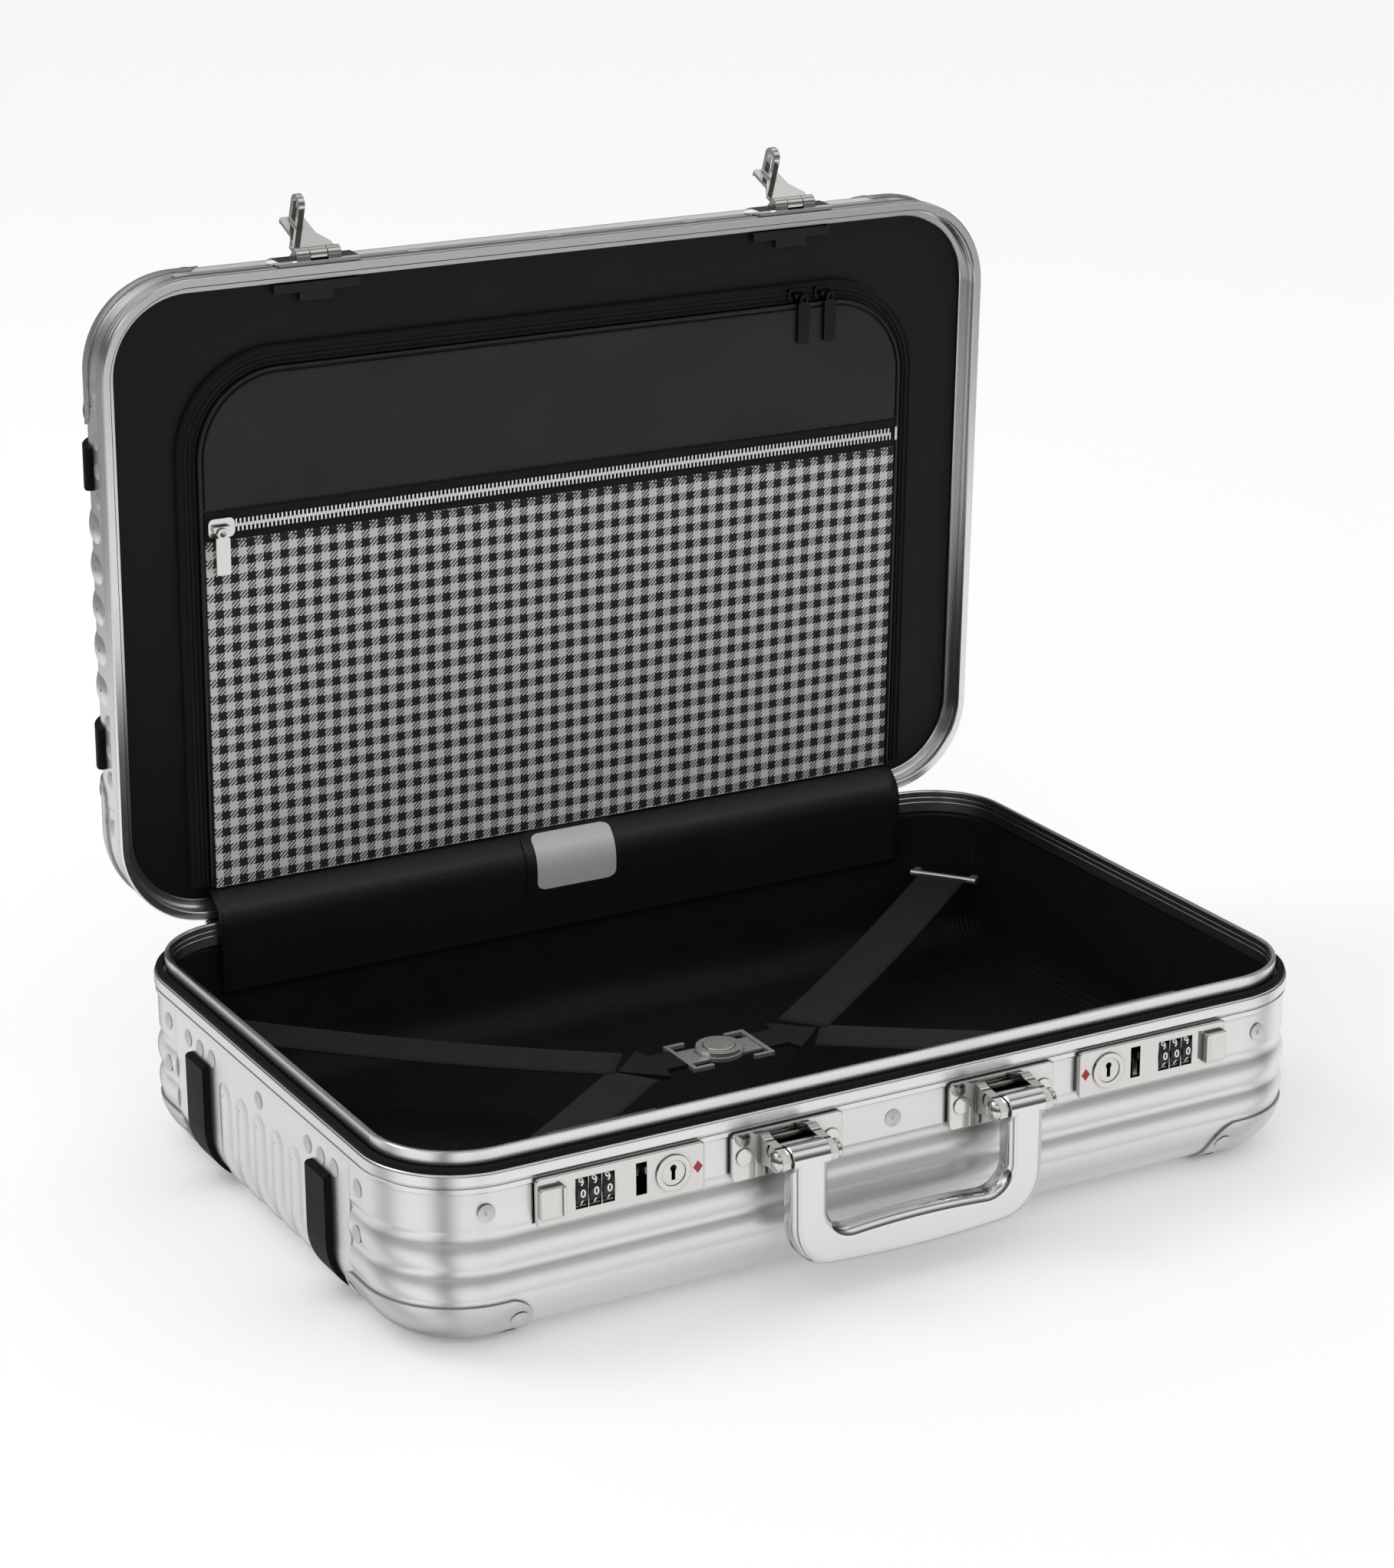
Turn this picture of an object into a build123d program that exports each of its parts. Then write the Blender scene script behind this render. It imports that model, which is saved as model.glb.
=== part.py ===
from build123d import *
import math
import os
from typing import NamedTuple

# Hard travel case with ribbed sheet, leather straps and combination locks, lid standing open.
# Millimetres. X runs along the case, the lock side (front) faces -Y, the lid hinges at the back
# (+Y) and the bottom lies at Z = 0. Lid pieces are modelled closed, then turned about the hinge.

os.makedirs("parts", exist_ok=True)

# ---------------------------------------------------------------- driving dimensions
LENGTH = 470.0               # over the frame, along X
DEPTH = 312.0                # over the frame, along Y
PLAN_R = 45.0                # corner radius in plan
HEIGHT = 133.0               # closed height over the lid
END_X = LENGTH / 2
FRONT_Y = -DEPTH / 2
BACK_Y = DEPTH / 2

HINGE_Y = 158.2
HINGE_Z = 90.5
LID_ANGLE = 88.0
SEAM_Y = 97.0                # seam between the ribbed sheet and the front and back bands
SEAM_GAP = 0.05
SKIN_OUT = 1.3               # sheet faces, measured in from the outer envelope
SKIN_IN = 2.5
CAP_T = 1.27                 # corner cap thickness

RIB_PITCH = 19.7
RIB_W = 14.0
RIB_ROOT = 2.0               # depth of a rib section inside the envelope
EDGE_RIB_Y = 104.0           # short ribs that stay on the flat face
EDGE_RIB_W = 11.0
EDGE_RIB_X = 160.0

STRAP_Y = 68.0               # leather straps: centre line, width, proud height, inner face
STRAP_W = 20.0
STRAP_OUT = 2.2
STRAP_IN = 1.28

PIN_R = 1.2                  # hinge and hasp pins
PIN_GAP = 0.05
SLOT_X = 126.5               # staple slot and hasp centre


class Half(NamedTuple):
    """Base or lid: rounding radius, height of its flat face, +1 where its walls rise from it."""
    radius: float
    flat_z: float
    up: int

    @property
    def centre_z(self):
        return self.flat_z + self.up * self.radius

    def level(self, inset):
        """Height at a distance inside the flat face."""
        return self.flat_z + self.up * inset

    def at(self, x, drop):
        """Point at x, a drop from the rounding centre towards the flat face."""
        return (x, self.centre_z - self.up * drop)

    def on_round(self, inset, degrees):
        """(outward, up) inside the rounding, angle from the wall towards the flat face."""
        turn = math.radians(degrees)
        r = self.radius - inset
        return (-self.radius + r * math.cos(turn), self.centre_z - self.up * r * math.sin(turn))


BASE = Half(28.0, 0.0, 1)
LID = Half(26.0, HEIGHT, -1)


# ---------------------------------------------------------------- helpers
def lines(*points):
    return [Edge.make_line(Vector(*a), Vector(*b)) for a, b in zip(points, points[1:])]


def arc(start, middle, end):
    return [Edge.make_three_point_arc(Vector(*start), Vector(*middle), Vector(*end))]


def face_of(*runs):
    """Closed face, normal up, from runs of edges in a local plane."""
    face = Face(Wire([edge for run in runs for edge in run]))
    return face if face.normal_at().Z > 0 else -face


def polygon(points):
    return face_of(lines(*points, points[0]))


def push(plane, face, amount):
    """Extrude a local face along the normal of its plane."""
    return extrude(plane * face, amount=amount, dir=plane.z_dir)


def push_x(face, x0, x1):
    """Extrude a (y, z) face along X."""
    return push(Plane(origin=(x0, 0, 0), x_dir=(0, 1, 0), z_dir=(1, 0, 0)), face, x1 - x0)


def push_y(face, y0, y1):
    """Extrude an (x, z) face along Y."""
    return push(Plane(origin=(0, y1, 0), x_dir=(1, 0, 0), z_dir=(0, -1, 0)), face, y1 - y0)


def push_z(face, z0, z1):
    return Pos(0, 0, z0) * push(Plane.XY, face, z1 - z0)


def union(shapes):
    total = shapes[0]
    for shape in shapes[1:]:
        total = total + shape
    return total


def box(x0, x1, y0, y1, z0, z1):
    middle = Pos((x0 + x1) / 2, (y0 + y1) / 2, (z0 + z1) / 2)
    return middle * Box(abs(x1 - x0), abs(y1 - y0), abs(z1 - z0))


def x_cyl(radius, x0, x1, y, z):
    return Pos((x0 + x1) / 2, y, z) * Rot(0, 90, 0) * Cylinder(radius, abs(x1 - x0))


def y_cyl(radius, x, y0, y1, z):
    return Pos(x, (y0 + y1) / 2, z) * Rot(90, 0, 0) * Cylinder(radius, abs(y1 - y0))


def disc(radius, height):
    """Cylinder standing on Z = 0."""
    return Cylinder(radius, height, align=(Align.CENTER, Align.CENTER, Align.MIN))


def rounded_slab(width, depth, radius, z0, z1):
    return Pos(0, 0, z0) * extrude(RectangleRounded(width, depth, radius), amount=z1 - z0)


def front_plate(x, z, width, height, corner, back_y, thickness, edge_r):
    """Rounded plate facing the front, with its front edge rounded over."""
    plate = extrude(Plane.XZ * RectangleRounded(width, height, corner), amount=thickness)
    plate = Pos(x, back_y, z) * plate
    return fillet(plate.faces().sort_by(Axis.Y)[0].edges(), edge_r)


def domed(radius, rim, height):
    """Disc with a rim and a domed face, on +Z."""
    rise = height - rim
    sphere_r = (radius * radius + rise * rise) / (2 * rise)
    reach = radius + 1
    cap = (Pos(0, 0, height - sphere_r) * Sphere(sphere_r)) & box(
        -reach, reach, -reach, reach, rim - 0.01, height + 1)
    return Pos(0, 0, rim / 2) * Cylinder(radius, rim) + (
        cap & (Pos(0, 0, rim) * Cylinder(radius, 2 * height + 2)))


def ring(face):
    """Sweep an (outward, up) section round the rounded rectangle of the case."""
    half_x, half_y = END_X - PLAN_R, DEPTH / 2 - PLAN_R
    parts = []
    for s in (1, -1):
        side = Plane(origin=(s * half_x, s * FRONT_Y, 0), x_dir=(0, -s, 0), z_dir=(-s, 0, 0))
        parts.append(push(side, face, 2 * half_x))
        end = Plane(origin=(s * END_X, s * half_y, 0), x_dir=(s, 0, 0), z_dir=(0, -s, 0))
        parts.append(push(end, face, 2 * half_y))
    corners = ((half_x, half_y, 90), (-half_x, half_y, 180),
               (-half_x, -half_y, 270), (half_x, -half_y, 0))
    for x, y, start in corners:
        c, s = math.cos(math.radians(start)), math.sin(math.radians(start))
        section = Plane(origin=(x + PLAN_R * c, y + PLAN_R * s, 0),
                        x_dir=(c, s, 0), z_dir=(s, -c, 0))
        parts.append(revolve(section * face, axis=Axis((x, y, 0), (0, 0, -1)),
                             revolution_arc=90))
    return union(parts)


def both_sides(shape):
    """The +X shape and its mirror at -X."""
    return [shape, mirror(shape, about=Plane.YZ)]


def four_corners(shape):
    pair = both_sides(shape)
    return pair + [mirror(piece, about=Plane.XZ) for piece in pair]


def open_lid(shape):
    return shape.rotate(Axis((0, HINGE_Y, HINGE_Z), (1, 0, 0)), -LID_ANGLE)


def save(name, shape):
    """Write one node; a list stays as separate solids."""
    if isinstance(shape, list):
        solids = [solid for item in shape for solid in item.solids()]
        shape = Compound(children=[Solid(solid.wrapped) for solid in solids])
    export_step(shape, "parts/%s.step" % name)


def save_on_lid(name, shape):
    """Turn a piece modelled on the closed lid to the open position and write it."""
    save(name, [open_lid(s) for s in shape] if isinstance(shape, list) else open_lid(shape))


def save_sides(pattern, shape):
    """Write a +X piece as the right one and its mirror as the left one."""
    for side, piece in zip(("right", "left"), both_sides(shape)):
        save(pattern.format(side), piece)


# ---------------------------------------------------------------- frame and seal sections
# (outward, up) from the frame face
BASE_FRAME_LIP = ((0, 79.7), (0, 83.6))
BASE_FRAME_LIP_ARC = ((0, 83.6), (-0.42, 84.6), (-1.4, 85.0))
BASE_FRAME_INNER = (
    (-1.4, 85.0), (-5.4, 85.0), (-5.4, 92.5), (-5.9, 93.0), (-7.3, 93.0), (-7.8, 92.5),
    (-7.8, 90.6), (-7.5, 90.3), (-7.5, 89.7), (-7.8, 89.4), (-7.8, 88.0), (-7.5, 87.7),
    (-7.5, 87.1), (-7.8, 86.8), (-7.8, 82.2), (-4.3, 79.4), (-4.2, 58.0), (-2.7, 58.0),
    (-2.7, 79.3), (-1.25, 79.3), (-1.25, 75.7), (-0.7, 75.7), (-0.4, 76.1), (-0.4, 78.1),
    (-0.9, 78.5), (-0.9, 79.1), (0, 79.7))
SEAL_LINES = ((-1.3, 85.02), (-4.5, 85.02), (-4.5, 86.6), (-4.2, 86.9), (-1.6, 86.9))
SEAL_ARC = ((-1.6, 86.9), (-0.95, 86.0), (-1.3, 85.02))
LID_FRAME = (
    (0, 87.6), (0, 89.3), (-0.5, 89.7), (-0.5, 90.3), (0, 90.7), (0, 92.7), (-0.9, 93.3),
    (-0.9, 93.9), (-0.4, 94.3), (-0.4, 96.5), (-0.7, 96.9), (-1.25, 96.9), (-1.25, 93.4),
    (-2.7, 93.4), (-2.7, 106.4), (-4.2, 106.4), (-4.2, 96.0), (-8.0, 96.0), (-8.4, 95.6),
    (-8.4, 94.6), (-8.0, 94.2), (-5.4, 94.2), (-4.3, 93.4), (-4.3, 90.8), (-4.1, 90.5),
    (-4.1, 89.9), (-4.3, 89.6), (-4.3, 87.5), (-3.8, 87.0), (-0.6, 87.0))


def base_frame(recesses):
    frame = ring(face_of(lines(*BASE_FRAME_LIP), arc(*BASE_FRAME_LIP_ARC),
                         lines(*BASE_FRAME_INNER)))
    # each recess stops below the frame lip
    for recess in recesses:
        frame = frame - (recess & box(-300, 300, FRONT_Y + 1.26, 0, 0, 79.3))
    return frame


def base_seal():
    return ring(face_of(lines(*SEAL_LINES), arc(*SEAL_ARC)))


# ---------------------------------------------------------------- corner caps
CAP_X, CAP_Y = 175.0, 86.0   # limit lines of the +X +Y cap
CAP_CORNER_R = 14.0
CAP_BASE_TOP = 24.0
CAP_LID_TOP = 27.0           # measured from the top of the lid
CAP_FLAT = 43.5              # how far the swept section reaches in


def cap_section(half, edge_angles):
    """Cap over the rounding; the angles place its rounded-off wall edge."""
    start, middle, end = edge_angles
    r, flat, inside = half.radius, half.flat_z, half.level(CAP_T)
    lip = half.on_round(0.15, start)
    root = half.on_round(CAP_T, start)
    return face_of(
        lines(root, lip),
        arc(lip, half.on_round(0, middle), half.on_round(0, end)),
        arc(half.on_round(0, end), half.on_round(0, 50), (-r, flat)),
        lines((-r, flat), (-CAP_FLAT, flat), (-CAP_FLAT, inside), (-r, inside)),
        arc((-r, inside), half.on_round(CAP_T, 45), root))


def cap_limit(start, top):
    """Region beyond a limit line, with a rounded upper corner, in (across, up)."""
    r = CAP_CORNER_R
    bend = r * (1 - math.sqrt(0.5))
    return face_of(
        lines((start, -5), (300, -5), (300, top), (start + r, top)),
        arc((start + r, top), (start + bend, top - bend), (start, top - r)),
        lines((start, top - r), (start, -5)))


def corner_caps(half, edge_angles, z_low, z_high, limit_top):
    cap = ring(cap_section(half, edge_angles)) & box(100, 300, 50, 300, z_low, z_high)
    cap = cap + box(CAP_X, END_X - 43.4, CAP_Y, BACK_Y - 43.4, half.flat_z, half.level(CAP_T))
    limits = [push_y(cap_limit(CAP_X, limit_top), 0, 300),
              push_x(cap_limit(CAP_Y, limit_top), 0, 300)]
    for limit in limits:
        if half is LID:
            limit = mirror(limit, about=Plane(origin=(0, 0, HEIGHT / 2)))
        cap = cap & limit
    return four_corners(cap)


# ---------------------------------------------------------------- front and back bands
def base_band_section():
    """Band with pressed waves, (outward, up)."""
    r = BASE.radius
    corner = BASE.on_round(SKIN_OUT, 10)
    return face_of(
        lines((-2.5, 79.0), (-1.3, 79.0), (-1.3, 58.5)),
        arc((-1.3, 58.5), (-2.1, 55.2), (-1.3, 51.9)),
        arc((-1.3, 51.9), (-0.15, 46.7), (-1.3, 41.5)),
        arc((-1.3, 41.5), (-1.95, 38.9), (-1.3, 36.3)),
        arc((-1.3, 36.3), (-0.2, 31.3), (-1.3, 26.3)),
        lines((-1.3, 26.3), corner),
        arc(corner, BASE.on_round(SKIN_OUT, 50), (-r, 1.3)),
        lines((-r, 1.3), (-r, 2.9)),
        arc((-r, 2.9), BASE.on_round(3.2, 45), (-3.2, r)),
        lines((-3.2, r), (-3.2, 56.6), (-2.5, 57.9), (-2.5, 79.0)))


def lid_band_section():
    """Lid band with two pressed waves, (outward, up)."""
    r = LID.radius
    corner = LID.on_round(SKIN_OUT, 14)
    inner = LID.on_round(3.2, 3)
    outer_top, inner_top = (-r, LID.level(1.3)), (-r, LID.level(2.9))
    return face_of(
        lines((-2.5, 93.6), (-1.3, 93.6), (-1.3, 104.6)),
        arc((-1.3, 104.6), (-1.9, 106.4), (-1.3, 108.2)),
        arc((-1.3, 108.2), (-0.75, 110.6), corner),
        arc(corner, LID.on_round(SKIN_OUT, 50), outer_top),
        lines(outer_top, inner_top),
        arc(inner_top, LID.on_round(3.2, 45), inner),
        lines(inner, (-2.5, 106.6), (-2.5, 93.6)))


def bands(section, z_low, z_high, caps):
    """Front and back bands, cut back where the corner caps lie."""
    whole = ring(section)
    edge = SEAM_Y + SEAM_GAP
    front = whole & box(-300, 300, -300, -edge, z_low, z_high)
    back = whole & box(-300, 300, edge, 300, z_low, z_high)
    for cap in caps:
        front = front - cap
        back = back - cap
    return front, back


# ---------------------------------------------------------------- ribbed sheet
def inner_run(half, inset, end_z):
    """Inner line of a wrapped strip in (x, z), from the -X wall round to the +X wall end."""
    wall, flat, r = END_X - inset, END_X - half.radius, half.radius - inset
    bend = r * math.sqrt(0.5)
    z = half.centre_z
    return (arc((-wall, z), half.at(-flat - bend, bend), half.at(-flat, r))
            + lines(half.at(-flat, r), half.at(flat, r))
            + arc(half.at(flat, r), half.at(flat + bend, bend), (wall, z))
            + lines((wall, z), (wall, end_z)))


def sheet(half, end_z):
    """One strip over end wall, rounding, flat face and the other end wall."""
    outer, inner = END_X - SKIN_OUT, END_X - SKIN_IN
    flat, r = END_X - half.radius, half.radius - SKIN_OUT
    bend = r * math.sqrt(0.5)
    z = half.centre_z
    section = face_of(
        lines((inner, end_z), (outer, end_z), (outer, z)),
        arc((outer, z), half.at(flat + bend, bend), half.at(flat, r)),
        lines(half.at(flat, r), half.at(-flat, r)),
        arc(half.at(-flat, r), half.at(-flat - bend, bend), (-outer, z)),
        lines((-outer, z), (-outer, end_z), (-inner, end_z), (-inner, z)),
        inner_run(half, SKIN_IN, end_z))
    return push_y(section, -SEAM_Y, SEAM_Y)


# Rib sections are (outward, across), with the crest on the envelope.
def rib_section(width):
    w = width / 2
    return face_of(
        arc((-SKIN_OUT, -w), (0, 0), (-SKIN_OUT, w)),
        lines((-SKIN_OUT, w), (-RIB_ROOT, w), (-RIB_ROOT, -w), (-SKIN_OUT, -w)))


def flat_crest_section(width):
    """Rib section with its crest flattened where the case stands on it."""
    w = width / 2
    return face_of(
        arc((-SKIN_OUT, -w), (-0.536, -5.037), (0, -3)),
        lines((0, -3), (0, 3)),
        arc((0, 3), (-0.536, 5.037), (-SKIN_OUT, w)),
        lines((-SKIN_OUT, w), (-RIB_ROOT, w), (-RIB_ROOT, -w), (-SKIN_OUT, -w)))


def rib_end(origin, out, width):
    """Rounded end of a rib: half the rib section turned about the outward axis."""
    w, q = width / 2, width / 4
    crest_r = (w * w + SKIN_OUT ** 2) / (2 * SKIN_OUT)
    half_section = face_of(
        lines((0, 0), (-RIB_ROOT, 0), (-RIB_ROOT, w), (-SKIN_OUT, w)),
        arc((-SKIN_OUT, w), (-crest_r + math.sqrt(crest_r * crest_r - q * q), q), (0, 0)))
    plane = Plane(origin=origin, x_dir=out, z_dir=(0, 1, 0))
    return revolve(plane * half_section, axis=Axis(origin, out))


def flat_run(half, section, y, half_length):
    """Straight length of rib along the flat face."""
    plane = Plane(origin=(-half_length, y, half.flat_z), x_dir=(0, 0, -half.up), z_dir=(1, 0, 0))
    return push(plane, section, 2 * half_length)


def wrapped_rib(half, y, end_z):
    """Rib over both end walls, the roundings and the flat face."""
    flat, z, s = END_X - half.radius, half.centre_z, half.up
    section = rib_section(RIB_W)
    z0, z1 = min(end_z, z), max(end_z, z)
    run = flat_crest_section(RIB_W) if half is BASE else section
    parts = [flat_run(half, run, y, flat)]
    for q in (1, -1):
        wall = Plane(origin=(q * END_X, y, z0), x_dir=(q, 0, 0), z_dir=(0, 0, 1))
        parts.append(push(wall, section, z1 - z0))
        bend = Plane(origin=(q * END_X, y, z), x_dir=(q, 0, 0), z_dir=(0, 0, -s))
        parts.append(revolve(bend * section, axis=Axis((q * flat, y, z), (0, q * s, 0)),
                             revolution_arc=90))
        parts.append(rib_end((q * END_X, y, end_z), (q, 0, 0), RIB_W))
    return union(parts)


def flat_rib(half, y):
    """Short rib on the flat face only, with rounded ends."""
    parts = [flat_run(half, rib_section(EDGE_RIB_W), y, EDGE_RIB_X)]
    for q in (1, -1):
        parts.append(rib_end((q * EDGE_RIB_X, y, half.flat_z), (0, 0, -half.up), EDGE_RIB_W))
    return union(parts)


def ribbed_shell(half, end_z, rib_end_z):
    r = half.radius
    z0, z1 = sorted((half.level(SKIN_OUT), half.level(SKIN_IN)))
    shell = sheet(half, end_z) + rounded_slab(
        LENGTH - 2 * r - 0.1, DEPTH - 2 * r - 0.1, PLAN_R - r, z0, z1)
    for i in (-2, -1, 0, 1, 2):
        shell = shell + wrapped_rib(half, i * RIB_PITCH, rib_end_z)
    for s in (-1, 1):
        shell = shell + flat_rib(half, s * EDGE_RIB_Y)
    return shell


# ---------------------------------------------------------------- rivets
RIVET_R = 4.0
RIVET = domed(RIVET_R, 0.25, 0.9) + Pos(0, 0, -1.4) * Cylinder(1.7, 3.2)
END_RIVET_Y = (54, 68, 82, 106)
UPPER_RIVET_Y = 106          # extra base rivets on the end walls
CAP_RIVET_ANGLES = (31, 66)  # round the cap rounding
CAP_RIVET_X, CAP_RIVET_Y = 182.0, 92.5


def rivets(half, z, front_xs, back_xs, extra_z=None):
    """Rivets on the walls at height z and on the roundings of the corner caps."""
    places = [((x, FRONT_Y + SKIN_OUT, z), (0, -1, 0)) for x in front_xs]
    places += [((x, BACK_Y - SKIN_OUT, z), (0, 1, 0)) for x in back_xs]
    for sx in (-1, 1):
        wall_x = sx * (END_X - SKIN_OUT)
        places.append(((wall_x, 0, z), (sx, 0, 0)))
        places += [((wall_x, sy * y, z), (sx, 0, 0)) for y in END_RIVET_Y for sy in (-1, 1)]
        if extra_z:
            places += [((sx * (END_X - 0.25), sy * UPPER_RIVET_Y, extra_z), (sx, 0, 0))
                       for sy in (-1, 1)]
    for angle in CAP_RIVET_ANGLES:
        out, cap_z = half.on_round(0, angle)
        turn = math.radians(angle)
        n_out, n_z = math.cos(turn), -half.up * math.sin(turn)
        for sx in (-1, 1):
            for sy in (-1, 1):
                places.append(((sx * CAP_RIVET_X, sy * (BACK_Y + out), cap_z),
                               (0, sy * n_out, n_z)))
                places.append(((sx * (END_X + out), sy * CAP_RIVET_Y, cap_z),
                               (sx * n_out, 0, n_z)))
    return [Plane(origin=place, z_dir=normal) * RIVET for place, normal in places]


# ---------------------------------------------------------------- leather straps
def leather_strap(half, y, end_z, swell_z):
    """Strap round the half; it thins to the flat face from swell_z, its ends are rounded."""
    outer, inner = END_X + STRAP_OUT, END_X - STRAP_IN
    flat, r, s = END_X - half.radius, half.radius, half.up
    bend = r * math.sqrt(0.5)
    shoulder_z, tip_z = end_z - s * 2.4, end_z - s * 0.6
    section = face_of(
        lines((inner, end_z), (outer - 1.6, end_z)),
        arc((outer - 1.6, end_z), (outer - 0.5, tip_z), (outer, shoulder_z)),
        lines((outer, shoulder_z), (outer, swell_z)),
        arc((outer, swell_z), half.at(flat + bend + 1.0, bend - 0.2), half.at(flat, r)),
        lines(half.at(flat, r), half.at(-flat, r)),
        arc(half.at(-flat, r), half.at(-flat - bend - 1.0, bend - 0.2), (-outer, swell_z)),
        lines((-outer, swell_z), (-outer, shoulder_z)),
        arc((-outer, shoulder_z), (-outer + 0.5, tip_z), (-outer + 1.6, end_z)),
        lines((-outer + 1.6, end_z), (-inner, end_z), (-inner, half.centre_z)),
        inner_run(half, STRAP_IN, end_z))
    return push_y(section, y - STRAP_W / 2, y + STRAP_W / 2)


def leather_straps(half, end_z, swell_z):
    return [leather_strap(half, y, end_z, swell_z) for y in (STRAP_Y, -STRAP_Y)]


# ---------------------------------------------------------------- locks, modelled at +X
LOCK_X, LOCK_Z = 136.0, 67.0
LOCK_W, LOCK_H = 80.0, 22.4
PLATE_T = 2.0
PLATE_BACK = FRONT_Y - 0.2
PLATE_FRONT = PLATE_BACK - PLATE_T
CYL_X = 111.5                # key cylinder
BUTTON_X = 169.5
DIAL_X = (142.2, 148.5, 154.8)
DIAL_R, DIAL_W = 8.0, 5.4
DIAL_Y, DIAL_Z = FRONT_Y + 4.6, 67.4
AXLE_R = 1.5
RETURN_T, RETURN_TOP = 1.4, 75.2     # folded plate edges that reach back to the sheet


def plate_return(x, z0):
    return box(x, x + RETURN_T, PLATE_BACK - 0.1, FRONT_Y + 1.28, z0, RETURN_TOP)


def lock_plate():
    x0, x1 = LOCK_X - LOCK_W / 2, LOCK_X + LOCK_W / 2
    cut_y = (PLATE_FRONT - 2, PLATE_BACK + 1)
    plate = front_plate(LOCK_X, LOCK_Z, LOCK_W, LOCK_H, 2.2, PLATE_BACK, PLATE_T, 0.7)
    for x in (x0 + 0.6, x1 - 2.0):
        plate = plate + plate_return(x, LOCK_Z - LOCK_H / 2 + 2.4)
    # dial windows
    for x in DIAL_X:
        plate = plate - box(x - 2.95, x + 2.95, *cut_y, DIAL_Z - 7.0, DIAL_Z + 7.0)
    # staple slot
    plate = plate - box(SLOT_X - 2.6, SLOT_X + 2.6, *cut_y, 60.2, 75.0)
    # raised collar round the key cylinder
    plate = plate + y_cyl(8.2, CYL_X, PLATE_FRONT - 0.9, PLATE_FRONT + 0.2, LOCK_Z)
    plate = plate - y_cyl(5.85, CYL_X, PLATE_FRONT - 3, PLATE_BACK + 1, LOCK_Z)
    # guide slot of the slider button
    return plate - box(165.6, 173.7, *cut_y, 63.0, 72.0)


def dial(x):
    wheel = x_cyl(DIAL_R, x - DIAL_W / 2, x + DIAL_W / 2, DIAL_Y, DIAL_Z)
    wheel = chamfer(wheel.edges().filter_by(GeomType.CIRCLE), 0.5)
    # finger notches between the ten positions
    notch_r = DIAL_R + 0.12
    for i in range(10):
        turn = math.radians(18 + 36 * i)
        wheel = wheel - x_cyl(0.55, x - 4, x + 4, DIAL_Y + notch_r * math.cos(turn),
                              DIAL_Z + notch_r * math.sin(turn))
    return wheel - x_cyl(AXLE_R + 0.05, x - 5, x + 5, DIAL_Y, DIAL_Z)


def dial_axle():
    return x_cyl(AXLE_R, 137.0, 159.4, DIAL_Y, DIAL_Z)


def key_cylinder():
    barrel = y_cyl(5.8, CYL_X, PLATE_FRONT - 0.5, FRONT_Y + 9.0, LOCK_Z)
    # keyway: slot and round hole
    key_y = (PLATE_FRONT - 2, PLATE_FRONT + 6)
    barrel = barrel - box(CYL_X - 0.9, CYL_X + 0.9, *key_y, LOCK_Z - 3.2, LOCK_Z + 2.6)
    barrel = barrel - y_cyl(1.5, CYL_X, *key_y, LOCK_Z + 2.2)
    return barrel + y_cyl(3.6, CYL_X, FRONT_Y + 8.9, FRONT_Y + 10.5, LOCK_Z)


def slider_button():
    back_y = PLATE_FRONT - 0.05
    button = front_plate(BUTTON_X, LOCK_Z, 11.6, 14.0, 1.2, back_y, 2.6, 0.6)
    # upstanding grip edge on the dial side
    button = button + box(163.7, 165.0, PLATE_FRONT - 3.6, back_y, LOCK_Z - 6.6, LOCK_Z + 6.6)
    # stem through the plate
    return button + box(166.0, 169.0, PLATE_FRONT - 0.3, FRONT_Y + 4.0, 63.4, 71.6)


def latch_bolt():
    y0, y1 = FRONT_Y + 4.05, FRONT_Y + 6.6
    bar = box(131.8, 169.0, y0, y1, 57.2, 59.1)
    end = box(166.0, 169.0, y0, y1, 57.2, 71.6)
    riser = box(129.8, 132.0, y0, y1, 57.2, 69.2)
    nose = box(124.6, 130.0, y0, y1, 66.0, 69.2)
    return bar + end + riser + nose


def lock_housing():
    low = box(101.0, 177.6, FRONT_Y + 6.45, FRONT_Y + 15.0, 54.0, 78.6)
    top = box(109.0, 161.0, FRONT_Y + 8.1, FRONT_Y + 18.0, 60.0, 88.4)
    housing = low + top
    housing = housing - box(103.0, 175.6, FRONT_Y, FRONT_Y + 13.4, 56.6, 77.0)
    # two open pockets on top with a rib between them
    for x0, x1 in ((111.2, 133.8), (136.2, 158.8)):
        housing = housing - box(x0, x1, FRONT_Y + 9.9, FRONT_Y + 16.4, 79.5, 92)
    # axle supports
    for x0, x1 in ((136.8, 139.0), (158.0, 160.4)):
        ear = box(x0, x1, DIAL_Y - 2.6, FRONT_Y + 13.6, DIAL_Z - 2.6, DIAL_Z + 2.6)
        housing = housing + (ear - x_cyl(AXLE_R, x0 - 1, x1 + 1, DIAL_Y, DIAL_Z))
    return housing


def lock_recesses():
    """Room for the locks in the frame, front band and lining."""
    return [box(s * 102.4, s * 176.2, -170, FRONT_Y + 6.4, 56.8, 77.0) for s in (1, -1)]


# ---------------------------------------------------------------- handle
HANDLE_X = 55.0              # bracket and eye centre, each side
GRIP_PIN_Y, GRIP_PIN_Z = FRONT_Y - 17.0, 68.0
GRIP_PIN_R = 3.0
BRACKET_Z = 66.2
HANDLE_T = 12.4
HANDLE_LOW_Z = 13.6


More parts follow.
